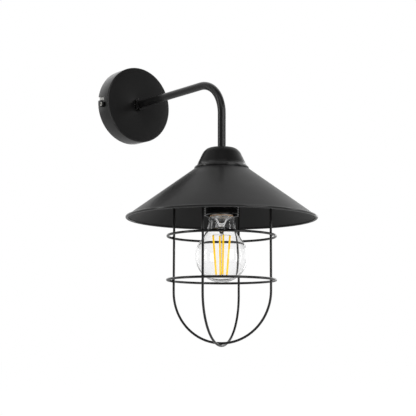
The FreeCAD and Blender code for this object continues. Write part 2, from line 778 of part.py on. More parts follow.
def make_bulb_inside():
    """Glass stem, filaments and the wires that carry them."""
    stem_mouth = glass_top - slide_gap
    flare = bulb_cap_radius - bulb_glass_wall - slide_gap
    stem_mid = stem_mouth - stem_height
    stem_tip = -filament_top + lead_wire_diameter
    profile = [(0, stem_mouth), (flare, stem_mouth), (flare, stem_mouth - stem_flare_edge)]
    profile += [(stem_tip_radius, stem_mid), (stem_tip_radius, stem_tip), (0, stem_tip)]
    add("bulb_stem", turned(profile, head_axis, Z, round_sides))
    top = -filament_top - lead_wire_diameter / 2
    lead = lead_wire_diameter / 2
    low = top - filament_length - lead_wire_diameter
    post = rod(head(0, 0, stem_tip), head(0, 0, low), lead, 6)
    arms = []
    strips = []
    for i in range(filament_count):
        way = spoke(filament_turn + 360 * i / filament_count)
        upper = head(0, 0, top) + way * filament_top_radius
        lower = head(0, 0, low) + way * filament_bottom_radius
        arms.append(rod(head(0, 0, top), upper, lead, 6))
        arms.append(rod(head(0, 0, low), lower, lead, 6))
        clear = lead + contact_gap + seat_gap
        strips.append(rod(upper - Z * clear, lower + Z * clear, filament_diameter / 2, wire_sides))
    add("bulb_leads", solid_of(post.fuse(arms).removeSplitter()))
    add("bulb_filaments", *strips)


# ---------------------------------------------------------------- build
def build():
    """Make every piece in order, from the wall to the bulb."""
    make_rose_cover()
    make_wall_bracket()
    make_side_screws()
    make_arm_tube()
    make_arm_fixing()
    make_terminal_block()
    make_cores()
    make_earth()
    make_shade_cap()
    make_shade()
    make_holder_dome()
    make_holder_skirt()
    make_holder_insert()
    make_screw_shell()
    make_contacts()
    make_clamp_rings()
    make_cage()
    make_bulb_base()
    make_bulb_glass()
    make_bulb_inside()


build()
os.makedirs("parts", exist_ok=True)
for node_name, node_shape in NODES.items():
    node_shape.exportStep(os.path.join("parts", node_name + ".step"))
    print(node_name, "solids", len(node_shape.Solids), "volume", round(node_shape.Volume, 1), node_shape.isValid())
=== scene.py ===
import logging
import math
from dataclasses import dataclass, field
from enum import Enum
from typing import Callable, Mapping, NamedTuple, Optional, Sequence, Union

import bmesh
import bpy
from mathutils import Matrix, Vector


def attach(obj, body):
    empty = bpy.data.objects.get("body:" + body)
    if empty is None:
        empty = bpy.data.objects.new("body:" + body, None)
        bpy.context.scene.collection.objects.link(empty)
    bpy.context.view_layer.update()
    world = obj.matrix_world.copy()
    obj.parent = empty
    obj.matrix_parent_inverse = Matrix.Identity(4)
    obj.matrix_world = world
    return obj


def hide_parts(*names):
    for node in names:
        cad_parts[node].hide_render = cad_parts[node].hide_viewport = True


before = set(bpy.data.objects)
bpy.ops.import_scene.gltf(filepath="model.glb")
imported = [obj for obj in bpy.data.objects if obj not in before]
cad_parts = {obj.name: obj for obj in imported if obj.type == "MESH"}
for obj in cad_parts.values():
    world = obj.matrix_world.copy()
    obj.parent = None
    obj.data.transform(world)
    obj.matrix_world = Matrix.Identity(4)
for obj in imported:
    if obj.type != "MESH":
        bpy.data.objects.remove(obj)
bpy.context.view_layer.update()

LOG = logging.getLogger("wall_light")
MM = 0.001
REACH = 188.0                   # from the wall to the lamp head's axis, in millimetres
MERGE = 2e-6                    # points nearer than this, in metres, are one
SMOOTH = 38.0                   # faces that meet below this angle, in degrees, shade smoothly
FINE_SMOOTH = 30.0              # the same for small pieces with crisp edges
ROUND_SMOOTH = 60.0             # the same for blown, poured and rolled pieces


# ---------------------------------------------------------------- places and profiles
class Corner(NamedTuple):
    """Corner of a turned profile, in millimetres, with the width of its rounding."""

    r: float
    h: float
    ease: float = 0.0


class Side(Enum):
    """The two sides of the rose, by the sign of X."""

    WEST = -1
    EAST = 1


@dataclass(frozen=True)
class Axis:
    """Line that a piece is turned about, in millimetres."""

    origin: tuple[float, float, float]
    along: tuple[float, float, float]
    ray: tuple[float, float, float] = (1.0, 0.0, 0.0)

    def at(self, r: float, h: float) -> Vector:
        """Point in metres at radius r and height h along the axis.

        Args:
            r: Distance from the axis.
            h: Distance along it from its origin.

        Returns:
            The point in the row frame.
        """
        return (Vector(self.origin) + Vector(self.ray) * r + Vector(self.along) * h) * MM

    def radius(self, point: Vector) -> float:
        """Distance of a point in metres from the axis, in millimetres.

        Args:
            point: Point in the row frame.

        Returns:
            The distance.
        """
        away = point / MM - Vector(self.origin)
        return (away - Vector(self.along) * away.dot(Vector(self.along))).length

    def angle(self, point: Vector) -> float:
        """Turn of a point about the axis from its ray, in degrees from 0 to 360.

        Args:
            point: Point in the row frame.

        Returns:
            The angle.
        """
        away = point / MM - Vector(self.origin)
        other = Vector(self.along).cross(Vector(self.ray))
        return math.degrees(math.atan2(away.dot(other), away.dot(Vector(self.ray)))) % 360.0


HEAD = Axis((0.0, -REACH, 0.0), (0.0, 0.0, 1.0))
WALL = Axis((0.0, 0.0, 0.0), (0.0, -1.0, 0.0))


def spoke(angle: float) -> Vector:
    """Level unit direction at an angle in degrees from +X."""
    return Vector((math.cos(math.radians(angle)), math.sin(math.radians(angle)), 0.0))


def arc(centre: tuple[float, float], radius: float, start: float, end: float,
        steps: int) -> list[Corner]:
    """Corners along an arc of a profile.

    Args:
        centre: Radius and height of the arc's centre.
        radius: Radius of the arc.
        start: First angle in degrees, from outwards towards up.
        end: Last angle in degrees.
        steps: Number of chords.

    Returns:
        The corners, both ends included.
    """
    turns = [math.radians(start + (end - start) * i / steps) for i in range(steps + 1)]
    r, h = centre
    return [Corner(r + radius * math.cos(t), h + radius * math.sin(t)) for t in turns]


def flow(a: tuple[float, float], b: tuple[float, float], c: tuple[float, float],
         d: tuple[float, float], steps: int) -> list[Corner]:
    """Corners along a cubic curve from a to d with handles b and c.

    Args:
        a: Start.
        b: Handle of the start.
        c: Handle of the end.
        d: End.
        steps: Number of chords.

    Returns:
        The corners between the two ends, which are left out.
    """
    made = []
    for i in range(1, steps):
        t = i / steps
        k = ((1 - t) ** 3, 3 * t * (1 - t) ** 2, 3 * t * t * (1 - t), t ** 3)
        made.append(Corner(*(sum(w * p[n] for w, p in zip(k, (a, b, c, d))) for n in (0, 1))))
    return made


def walled(outline: Sequence[Corner], wall: float) -> list[Corner]:
    """Closed section of a sheet: the outline, and the same line one wall inside it.

    Args:
        outline: Corners from the axis outwards, seen on the outside.
        wall: Thickness of the sheet.

    Returns:
        The closed section.
    """
    inner = []
    ways = []
    for a, b in zip(outline, outline[1:]):
        run = math.hypot(b.r - a.r, b.h - a.h)
        ways.append(((b.h - a.h) / run, -(b.r - a.r) / run))
    for i, corner in enumerate(outline):
        n0 = ways[max(i - 1, 0)]
        n1 = ways[min(i, len(ways) - 1)]
        k = wall / (1 + n0[0] * n1[0] + n0[1] * n1[1])
        inner.append(Corner(corner.r + (n0[0] + n1[0]) * k, corner.h + (n0[1] + n1[1]) * k,
                            corner.ease * 0.8))
    return list(outline) + inner[::-1]


def round_tooth(radius: float, depth: float, chords: int = 8) -> list[Corner]:
    """Section of one turn of a rolled, round thread.

    Args:
        radius: Middle radius of the thread, in millimetres.
        depth: Half the height of its wave, in millimetres.
        chords: Chords of one wave.

    Returns:
        Radius and share of the pitch, from 0 to 1.
    """
    turns = [i / chords for i in range(chords + 1)]
    return [Corner(radius + depth * math.cos(2 * math.pi * t), t) for t in turns]


# ---------------------------------------------------------------- the bench
class Workpiece:
    """One piece on the bench: a primitive that is shaped in edit mode and then finished."""

    def __init__(self, name: str) -> None:
        """Take the primitive that was just added, settle it at the origin and open it.

        Args:
            name: Name of the piece.
        """
        bpy.ops.object.transform_apply(location=True, rotation=True, scale=True)
        self.obj: bpy.types.Object = bpy.context.active_object
        self.obj.name = name
        self.obj.data.name = name
        bpy.ops.object.mode_set(mode="EDIT")
        bpy.ops.mesh.select_mode(type="VERT")
        bpy.ops.mesh.select_all(action="SELECT")

    @classmethod
    def dot(cls, name: str, place: Vector) -> "Workpiece":
        """A small plane closed to one point, from which a profile is drawn.

        Args:
            name: Name of the piece.
            place: The point, in metres.

        Returns:
            The piece, open for shaping.
        """
        clear_bench()
        bpy.ops.mesh.primitive_plane_add(size=MM, location=place)
        piece = cls(name)
        bpy.ops.mesh.merge(type="CENTER")
        return piece

    @classmethod
    def hoop(cls, name: str, centre: Vector, radius: float, facing: Vector,
             sides: int) -> "Workpiece":
        """A circle of edges, square to a direction.

        Args:
            name: Name of the piece.
            centre: Its centre, in metres.
            radius: Its radius, in millimetres.
            facing: Direction that it is square to.
            sides: Number of edges.

        Returns:
            The piece, open for shaping.
        """
        clear_bench()
        turn = facing.to_track_quat("Z", "Y").to_euler()
        bpy.ops.mesh.primitive_circle_add(vertices=sides, radius=radius * MM, location=centre,
                                          rotation=turn)
        return cls(name)

    @classmethod
    def brick(cls, name: str, low: Sequence[float], high: Sequence[float]) -> "Workpiece":
        """A block between two corners in millimetres.

        Args:
            name: Name of the piece.
            low: Lowest corner.
            high: Highest corner.

        Returns:
            The piece, open for shaping.
        """
        clear_bench()
        middle = [(a + b) / 2 * MM for a, b in zip(low, high)]
        spans = [b - a for a, b in zip(low, high)]
        bpy.ops.mesh.primitive_cube_add(size=MM, location=middle, scale=spans)
        return cls(name)

    @classmethod
    def ball(cls, name: str, centre: Vector, sizes: Sequence[float]) -> "Workpiece":
        """A ball pressed to three half sizes in millimetres.

        Args:
            name: Name of the piece.
            centre: Its centre, in metres.
            sizes: Half sizes along X, Y and Z.

        Returns:
            The piece, open for shaping.
        """
        clear_bench()
        bpy.ops.mesh.primitive_uv_sphere_add(segments=16, ring_count=10, radius=MM,
                                             location=centre, scale=sizes)
        return cls(name)

    @classmethod
    def reopen(cls, obj: bpy.types.Object) -> "Workpiece":
        """Put a finished piece back on the bench.

        Args:
            obj: The piece.

        Returns:
            The piece, open for shaping.
        """
        hold(obj)
        return cls(obj.name)

    def pick(self, test: Callable[[Vector], bool]) -> int:
        """Select the points whose place passes a test, and what lies between them.

        Args:
            test: Called with each point, in metres.

        Returns:
            How many points were picked.
        """
        bpy.ops.mesh.select_mode(type="VERT")
        bpy.ops.mesh.select_all(action="DESELECT")
        mesh = bmesh.from_edit_mesh(self.obj.data)
        chosen = [v for v in mesh.verts if test(v.co)]
        for v in chosen:
            v.select_set(True)
        mesh.select_flush_mode()
        bmesh.update_edit_mesh(self.obj.data)
        return len(chosen)

    def pick_level(self, level: float) -> int:
        """Select the edges that lie at a level, in millimetres."""
        z = level * MM
        return self.pick_edges(lambda a, b, _: max(abs(a.z - z), abs(b.z - z)) < MERGE)

    def pick_edges(self, test: Callable[[Vector, Vector, float], bool]) -> int:
        """Select the edges that pass a test.

        Args:
            test: Called with an edge's two ends in metres and the angle of its faces in degrees.

        Returns:
            How many edges were picked.
        """
        bpy.ops.mesh.select_mode(type="EDGE")
        bpy.ops.mesh.select_all(action="DESELECT")
        mesh = bmesh.from_edit_mesh(self.obj.data)
        count = 0
        for edge in mesh.edges:
            angle = math.degrees(edge.calc_face_angle(math.pi))
            if test(edge.verts[0].co, edge.verts[1].co, angle):
                edge.select_set(True)
                count += 1
        mesh.select_flush_mode()
        bmesh.update_edit_mesh(self.obj.data)
        return count

    def draw(self, points: Sequence[Vector]) -> None:
        """Draw on from the selected point through more points, in metres.

        Args:
            points: The first is where the pen stands.
        """
        for a, b in zip(points, points[1:]):
            bpy.ops.mesh.extrude_vertices_move(TRANSFORM_OT_translate={"value": b - a})

    def spin_all(self, axis: Axis, steps: int) -> None:
        """Carry the whole drawn line once round an axis."""
        bpy.ops.mesh.select_all(action="SELECT")
        self.turn(360.0, axis.at(0, 0), Vector(axis.along), steps)

    def push(self, way: Vector) -> None:
        """Extrude what is selected by a vector in metres."""
        bpy.ops.mesh.extrude_region_move(TRANSFORM_OT_translate={"value": way})

    def scale(self, factors: Sequence[float], about: Vector) -> None:
        """Scale what is selected about a point in metres."""
        bpy.ops.transform.resize(value=factors, center_override=about)

    def shift(self, way: Vector) -> None:
        """Move what is selected by a vector in metres."""
        bpy.ops.transform.translate(value=way)

    def turn(self, angle: float, centre: Vector, axis: Vector, steps: int) -> None:
        """Carry what is selected round an axis, by the right-hand rule, leaving a skin behind.

        Args:
            angle: Angle in degrees.
            centre: Point of the axis, in metres.
            axis: Direction of the axis.
            steps: Number of chords.
        """
        bpy.ops.mesh.spin(steps=steps, angle=math.radians(angle), center=centre, axis=-axis)

    def soften(self, width: float, segments: int = 3, corners: bool = False) -> None:
        """Round the selected edges, or corners of a drawn line.

        Args:
            width: Width in millimetres from the edge to where the rounding starts.
            segments: Number of chords.
            corners: True for the corners of a drawn line.
        """
        bpy.ops.mesh.bevel(offset=width * MM, offset_type="OFFSET", segments=segments, profile=0.5,
                           affect="VERTICES" if corners else "EDGES", clamp_overlap=False)

    def merge(self) -> None:
        """Close seams and poles, and turn every face outwards."""
        bpy.ops.mesh.select_mode(type="VERT")
        bpy.ops.mesh.select_all(action="SELECT")
        bpy.ops.mesh.remove_doubles(threshold=MERGE)
        bpy.ops.mesh.normals_make_consistent(inside=False)

    def close(self) -> bpy.types.Object:
        """Leave edit mode.

        Returns:
            The object.
        """
        bpy.ops.object.mode_set(mode="OBJECT")
        return self.obj

    def finish(self, smooth: float = SMOOTH) -> bpy.types.Object:
        """Merge, leave edit mode and shade smoothly up to an angle.

        Args:
            smooth: Angle in degrees.

        Returns:
            The finished object.
        """
        self.merge()
        self.close()
        return smoothed(self.obj, smooth)


def clear_bench() -> None:
    """Leave edit mode and deselect everything."""
    if bpy.context.object is not None and bpy.context.object.mode != "OBJECT":
        bpy.ops.object.mode_set(mode="OBJECT")
    bpy.ops.object.select_all(action="DESELECT")


def hold(obj: bpy.types.Object) -> None:
    """Make one object the only selected and the active one.

    Args:
        obj: The object.
    """
    clear_bench()
    obj.select_set(True)
    bpy.context.view_layer.objects.active = obj


def smoothed(obj: bpy.types.Object, angle: float = SMOOTH) -> bpy.types.Object:
    """Shade an object smoothly where its faces meet below an angle.

    Args:
        obj: The object.
        angle: Angle in degrees.

    Returns:
        The same object.
    """
    hold(obj)
    bpy.ops.object.shade_smooth_by_angle(angle=math.radians(angle))
    return obj


def modified(obj: bpy.types.Object, kind: str, settings: Mapping[str, object]) -> bpy.types.Object:
    """Add a modifier and apply it.

    Args:
        obj: The object.
        kind: Type of modifier.
        settings: Its settings.

    Returns:
        The same object.
    """
    hold(obj)
    bpy.ops.object.modifier_add(type=kind)
    modifier = obj.modifiers[-1]
    for key, value in settings.items():
        setattr(modifier, key, value)
    bpy.ops.object.modifier_apply(modifier=modifier.name)
    return obj


def carve(obj: bpy.types.Object, tool: bpy.types.Object,
          operation: str = "DIFFERENCE") -> bpy.types.Object:
    """Cut an object with a tool, which is used up.

    Args:
        obj: The object.
        tool: The cutting shape.
        operation: DIFFERENCE, INTERSECT or UNION.

    Returns:
        The object.
    """
    modified(obj, "BOOLEAN", {"operation": operation, "solver": "EXACT", "object": tool})
    bpy.data.objects.remove(tool)
    return obj


def joined(name: str, parts: Sequence[bpy.types.Object]) -> bpy.types.Object:
    """Join objects into one mesh.

    Args:
        name: Name of the result.
        parts: The objects.

    Returns:
        The joined object.
    """
    clear_bench()
    for part in parts:
        part.select_set(True)
    bpy.context.view_layer.objects.active = parts[0]
    if len(parts) > 1:
        bpy.ops.object.join()
    parts[0].name = name
    parts[0].data.name = name
    return parts[0]


def copied(obj: bpy.types.Object, name: str, move: Matrix) -> bpy.types.Object:
    """Copy a piece with its own mesh and set the copy in place, in its mesh.

    Args:
        obj: The piece.
        name: Name of the copy.
        move: Where the copy goes, in metres.

    Returns:
        The copy.
    """
    hold(obj)
    bpy.ops.object.duplicate(linked=False)
    made = bpy.context.active_object
    made.matrix_world = move
    bpy.ops.object.transform_apply(location=True, rotation=True, scale=True)
    made.name = name
    made.data.name = name
    return made


def turned(name: str, profile: Sequence[Corner], axis: Axis = HEAD, sides: int = 96,
           smooth: float = SMOOTH) -> bpy.types.Object:
    """Draw a profile, round its corners and spin it about an axis.

    Args:
        name: Name of the piece.
        profile: Corners; a profile that doesn't start on the axis is closed to a ring.
        axis: Axis of the lathe.
        sides: Steps of the spin.
        smooth: Smoothing angle in degrees.

    Returns:
        The finished object.
    """
    points = [axis.at(c.r, c.h) for c in profile]
    if profile[0].r > 0:
        points.append(points[0])
    piece = Workpiece.dot(name, points[0])
    piece.draw(points)
    bpy.ops.mesh.select_all(action="SELECT")
    bpy.ops.mesh.remove_doubles(threshold=MERGE)
    for ease in sorted({c.ease for c in profile if c.ease > 0}):
        wanted = [axis.at(c.r, c.h) for c in profile if c.ease == ease]
        piece.pick(lambda p: any((p - w).length < MERGE for w in wanted))
        piece.soften(ease, 3 if ease < 0.7 else 6, corners=True)
    piece.spin_all(axis, sides)
    return piece.finish(smooth)


def tubed(name: str, corners: Sequence[Vector], bends: Sequence[float], radius: float, sides: int,
          chord: float = 7.5, capped: bool = True) -> bpy.types.Object:
    """Extrude a circle along straight runs and spin it round each bend.

    Args:
        name: Name of the piece.
        corners: Ends and corners of the middle line, in metres.
        bends: Bend radius at each corner, in millimetres.
        radius: Radius of the tube or wire, in millimetres.
        sides: Sides of the circle.
        chord: Largest angle of one step in a bend.
        capped: True to close both ends, with a small rounding.

    Returns:
        The finished object.
    """
    ways = [(b - a).normalized() for a, b in zip(corners, corners[1:])]
    piece = Workpiece.hoop(name, corners[0], radius, ways[0], sides)
    here = corners[0]
    for i, bend in enumerate(bends):
        before, after, corner = ways[i], ways[i + 1], corners[i + 1]
        angle = before.angle(after)
        start = corner - before * (bend * MM * math.tan(angle / 2))
        piece.push(start - here)
        inward = (after - before * after.dot(before)).normalized()
        steps = max(2, math.ceil(math.degrees(angle) / chord))
        piece.turn(math.degrees(angle), start + inward * (bend * MM), before.cross(after), steps)
        here = corner + after * (bend * MM * math.tan(angle / 2))
    piece.push(corners[-1] - here)
    if capped:
        for end, way in ((corners[0], ways[0]), (corners[-1], ways[-1])):
            piece.pick(lambda p: abs((p - end).dot(way)) < MERGE
                       and (p - end).length < radius * MM * 1.1)
            bpy.ops.mesh.edge_face_add()
            piece.soften(radius * 0.3, 2)
    return piece.finish()


def hooped(name: str, centre: Vector, reach: float, radius: float, sides: int,
           steps: int) -> bpy.types.Object:
    """Bend a wire to a closed level hoop.

    Args:
        name: Name of the piece.
        centre: Centre of the hoop, in metres.
        reach: Radius to the middle of the wire, in millimetres.
        radius: Radius of the wire, in millimetres.
        sides: Sides of the wire.
        steps: Chords of the hoop.

    Returns:
        The finished object.
    """
    start = centre + Vector((reach * MM, 0, 0))
    piece = Workpiece.hoop(name, start, radius, Vector((0, 1, 0)), sides)
    piece.turn(360.0, centre, Vector((0, 0, 1)), steps)
    return piece.finish()


def helix(name: str, tooth: Sequence[Corner], pitch: float, top: float, bottom: float,
          steps: int) -> Workpiece:
    """Screw one tooth down the head's axis as a right-hand thread, and trim both ends flat.

    Args:
        name: Name of the piece.
        tooth: Radius and share of the pitch below its start, from 0 to 1.
        pitch: Pitch in millimetres.
        top: Upper end.
        bottom: Lower end.
        steps: Chords of one turn.

    Returns:
        The open sheet, still on the bench.
    """
    phase = math.ceil(top / pitch + 1) * pitch
    points = [HEAD.at(c.r, phase - c.h * pitch) for c in tooth]
    piece = Workpiece.dot(name, points[0])
    piece.draw(points)
    bpy.ops.mesh.select_all(action="SELECT")
    turns = math.ceil((phase - bottom) / pitch) + 1
    bpy.ops.mesh.screw(steps=steps, turns=turns, center=HEAD.at(0, 0), axis=(0, 0, -1))
    for level, side in ((top, "clear_outer"), (bottom, "clear_inner")):
        bpy.ops.mesh.select_all(action="SELECT")
        bpy.ops.mesh.remove_doubles(threshold=MERGE)
        bpy.ops.mesh.bisect(plane_co=HEAD.at(0, level), plane_no=(0, 0, 1), **{side: True})
    return piece


def threaded(name: str, tooth: Sequence[Corner], pitch: float, top: float, bottom: float,
             bore: float, steps: int) -> bpy.types.Object:
    """Sleeve with a cut thread outside and a plain bore.

    Args:
        name: Name of the piece.
        tooth: As for helix.
        pitch: Pitch in millimetres.
        top: Upper end.
        bottom: Lower end.
        bore: Radius of the bore.
        steps: Chords of one turn.

    Returns:
        The finished object.
    """
    piece = helix(name, tooth, pitch, top, bottom, steps)
    for level in (top, bottom):
        piece.pick_level(level)
        bpy.ops.mesh.edge_face_add()
    piece.merge()
    low, high = bottom - 1.0, top + 1.0
    drill = turned("tool", [Corner(0.0, low), Corner(bore, low), Corner(bore, high),
                            Corner(0.0, high)], HEAD, steps)
    return smoothed(carve(piece.close(), drill), 50.0)


def coloured_core(name: str, points: Sequence[Sequence[float]], radius: float) -> bpy.types.Object:
    """Round core that flows along a few points in millimetres.

    Args:
        name: Name of the piece.
        points: Control points, six or more.
        radius: Radius of the insulation.

    Returns:
        The finished object.
    """
    clear_bench()
    bpy.ops.curve.primitive_nurbs_path_add()
    curve = bpy.context.active_object
    line = curve.data.splines[0]
    line.points.add(len(points) - len(line.points))
    for place, point in zip(points, line.points):
        point.co = (*[v * MM for v in place], 1.0)
    line.order_u = 4
    line.use_endpoint_u = True
    curve.data.resolution_u = 8
    curve.data.bevel_depth = radius * MM
    curve.data.bevel_resolution = 4
    curve.data.use_fill_caps = True
    bpy.ops.object.convert(target="MESH")
    piece = bpy.context.active_object
    piece.name = name
    piece.data.name = name
    return smoothed(piece, ROUND_SMOOTH)


def eased_copy(node: str, width: float) -> bpy.types.Object:
    """Merged copy of a CAD node with its edges rounded.

    Args:
        node: Name of the node.
        width: Width of the rounding, in millimetres.

    Returns:
        The finished object.
    """
    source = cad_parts[node]
    made = bpy.data.objects.new("dressed_" + node, source.data.copy())
    bpy.context.scene.collection.objects.link(made)
    made.data.materials.clear()
    hold(made)
    bpy.ops.object.mode_set(mode="EDIT")
    bpy.ops.mesh.select_all(action="SELECT")
    bpy.ops.mesh.remove_doubles(threshold=MERGE)
    bpy.ops.mesh.dissolve_limited(angle_limit=math.radians(0.5))
    bpy.ops.mesh.normals_make_consistent(inside=False)
    bpy.ops.object.mode_set(mode="OBJECT")
    bpy.ops.object.shade_flat()
    modified(made, "BEVEL", {"width": width * MM, "segments": 3, "limit_method": "ANGLE",
                             "angle_limit": math.radians(35.0), "harden_normals": False})
    return smoothed(made)


# ---------------------------------------------------------------- mixing materials
class Wire:
    """Output of a node, on which sums are written as Python expressions."""

    def __init__(self, mixer: "Mixer", socket: bpy.types.NodeSocket) -> None:
        """Keep the mixer and the socket.

        Args:
            mixer: Mixer that new nodes go into.
            socket: The output.
        """
        self.mixer = mixer
        self.socket = socket

    def maths(self, operation: str, *terms: "Term") -> "Wire":
        """Result of a Math node.

        Args:
            operation: The node's operation.
            *terms: Its inputs, in order.

        Returns:
            Its output.
        """
        return self.mixer.out("ShaderNodeMath", {"operation": operation}, dict(enumerate(terms)))

    def __add__(self, other: "Term") -> "Wire":
        """Sum."""
        return self.maths("ADD", self, other)

    def __radd__(self, other: "Term") -> "Wire":
        """Sum, from the right."""
        return self.maths("ADD", other, self)

    def __sub__(self, other: "Term") -> "Wire":
        """Difference."""
        return self.maths("SUBTRACT", self, other)

    def __rsub__(self, other: "Term") -> "Wire":
        """Difference, from the right."""
        return self.maths("SUBTRACT", other, self)

    def __mul__(self, other: "Term") -> "Wire":
        """Product."""
        return self.maths("MULTIPLY", self, other)

    def __rmul__(self, other: "Term") -> "Wire":
        """Product, from the right."""
        return self.maths("MULTIPLY", other, self)

    def above(self, level: float) -> "Wire":
        """One where the value is above a level, else nought."""
        return self.maths("GREATER_THAN", self, level)


Term = Union[Wire, float]
Colour = tuple[float, float, float]


class Mixer:
    """A node tree, to which nodes are added one by one."""

    def __init__(self, tree: bpy.types.NodeTree) -> None:
        """Keep the tree."""
        self.tree = tree

    def node(self, kind: str, settings: Optional[Mapping[str, object]] = None,
             sockets: Optional[Mapping[Union[str, int], object]] = None) -> bpy.types.Node:
        """Add a node: its settings first, then its sockets.

        Args:
            kind: Type of node.
            settings: Settings; "stops" holds a ramp's positions and colours.
            sockets: Values or wires, by the socket's name or number.

        Returns:
            The node.
        """
        made = self.tree.nodes.new(kind)
        for key, value in (settings or {}).items():
            if key == "stops":
                while len(made.color_ramp.elements) < len(value):
                    made.color_ramp.elements.new(0.5)
                for element, (position, colour) in zip(made.color_ramp.elements, value):
                    element.position = position
                    element.color = (*colour, 1.0)
            else:
                setattr(made, key, value)
        for key, value in (sockets or {}).items():
            if isinstance(value, Wire):
                self.tree.links.new(value.socket, made.inputs[key])
            else:
                made.inputs[key].default_value = value
        return made

    def wire(self, node: bpy.types.Node, output: Union[str, int] = 0) -> Wire:
        """One output of a node, by its name or number."""
        return Wire(self, node.outputs[output])

    def out(self, kind: str, settings: Optional[Mapping[str, object]] = None,
            sockets: Optional[Mapping[Union[str, int], object]] = None,
            output: Union[str, int] = 0) -> Wire:
        """Add a node and take one of its outputs.

        Args:
            kind: Type of node.
            settings: Its settings.
            sockets: Its sockets.
            output: Name or number of the output.

        Returns:
            The output.
        """
        return self.wire(self.node(kind, settings, sockets), output)


class Recipe(Mixer):
    """A material, mixed node by node."""

    def __init__(self, name: str) -> None:
        """Start a material with one principled shader.

        Args:
            name: Name of the material.
        """
        self.material = bpy.data.materials.new(name)
        self.material.use_nodes = True
        super().__init__(self.material.node_tree)
        self.tree.nodes.clear()
        self.shader = self.node("ShaderNodeBsdfPrincipled")
        self.sink = self.node("ShaderNodeOutputMaterial", {}, {"Surface": self.wire(self.shader)})
        self.place = self.out("ShaderNodeTexCoord", {}, {}, "Object")

    def set(self, **values: object) -> "Recipe":
        """Set or link sockets of the principled shader.

        Args:
            **values: Socket names with underscores for spaces.

        Returns:
            The recipe.
        """
        for key, value in values.items():
            socket = self.shader.inputs[key.replace("_", " ")]
            if isinstance(value, Wire):
                self.tree.links.new(value.socket, socket)
            elif isinstance(value, tuple) and len(value) == 3:
                socket.default_value = (*value, 1.0)
            else:
                socket.default_value = value
        return self

    def stretched(self, factors: Sequence[float]) -> Wire:
        """Object coordinates stretched along each axis.

        Args:
            factors: Scale along X, Y and Z.

        Returns:
            The coordinates.
        """
        return self.out("ShaderNodeMapping", {}, {"Vector": self.place, "Scale": factors})

    def grain(self, size: float, detail: float = 2.0, place: Optional[Wire] = None) -> Wire:
        """Noise whose grains are about a size in millimetres.

        Args:
            size: Size of a grain.
            detail: Detail of the noise.
            place: Coordinates, the object's own where left out.

        Returns:
            The noise, from 0 to 1.
        """
        return self.out("ShaderNodeTexNoise", {},
                        {"Vector": place or self.place, "Scale": 1.0 / (size * MM),
                         "Detail": detail, "Roughness": 0.55}, "Fac")

    def shade(self, low: Colour, high: Colour, factor: Wire) -> Wire:
        """Mix of two colours.

        Args:
            low: Colour at 0.
            high: Colour at 1.
            factor: What mixes them.

        Returns:
            The colour.
        """
        return self.blend((*low, 1.0), (*high, 1.0), factor)

    def blend(self, low: object, high: object, factor: Wire) -> Wire:
        """Mix of two colours, or of wires that carry them.

        Args:
            low: Colour at 0.
            high: Colour at 1.
            factor: What mixes them.

        Returns:
            The colour.
        """
        return self.out("ShaderNodeMix", {"data_type": "RGBA"}, {0: factor, 6: low, 7: high}, 2)

    def tinted(self, colour: Colour, low: float, high: float, factor: Wire) -> Wire:
        """Mix of one colour made darker and the same colour made paler.

        Args:
            colour: The colour.
            low: What it is multiplied by at 0.
            high: What it is multiplied by at 1.
            factor: What mixes the two.

        Returns:
            The colour.
        """
        return self.shade(tuple(c * low for c in colour), tuple(c * high for c in colour), factor)

    def spread(self, value: Wire, low: float, high: float) -> Wire:
        """Value from 0 to 1 taken to another range.

        Args:
            value: The value.
            low: What 0 becomes.
            high: What 1 becomes.

        Returns:
            The new value.
        """
        return value * (high - low) + low

    def bump(self, height: Wire, depth: float, strength: float = 1.0) -> Wire:
        """Normal of a bumped surface.

        Args:
            height: Height, from 0 to 1.
            depth: Depth in millimetres of a height of 1.
            strength: Strength of the effect.

        Returns:
            The normal.
        """
        return self.out("ShaderNodeBump", {},
                        {"Height": height, "Distance": depth * MM, "Strength": strength}, "Normal")


class Slot(Enum):
    """Finishes, by the name of their slot."""

    BLACK_PAINT = "black_paint"
    ZINC = "zinc_steel"
    BLACK_PLASTIC = "black_plastic"
    WHITE = "white_insulator"
    BRASS = "brass"
    CAP_METAL = "cap_metal"
    CONTACT = "contact_metal"
    BLACK_GLASS = "black_glass"
    CEMENT = "brown_cement"
    GLASS = "clear_glass"
    LEAD = "lead_metal"
    FILAMENT = "filament"
    BROWN = "brown_insulation"
    BLUE = "blue_insulation"
    GREEN = "green_insulation"


@dataclass(frozen=True)
class Finish:
    """A finish: its slot, and how its material is mixed."""

    slot: Slot
    colour: Colour
    roughness: float = 0.45
    label: str = ""

    def mix(self, recipe: Recipe) -> None:
        """Mix the material.

        Args:
            recipe: The recipe to fill.
        """
        recipe.set(Base_Color=self.colour, Roughness=self.roughness)

    def material(self) -> bpy.types.Material:
        """The finish's material, mixed the first time it is asked for.

        Returns:
            The material.
        """
        name = "finish_" + self.slot.value + self.label
        known = bpy.data.materials.get(name)
        if known is not None:
            return known
        recipe = Recipe(name)
        self.mix(recipe)
        return recipe.material


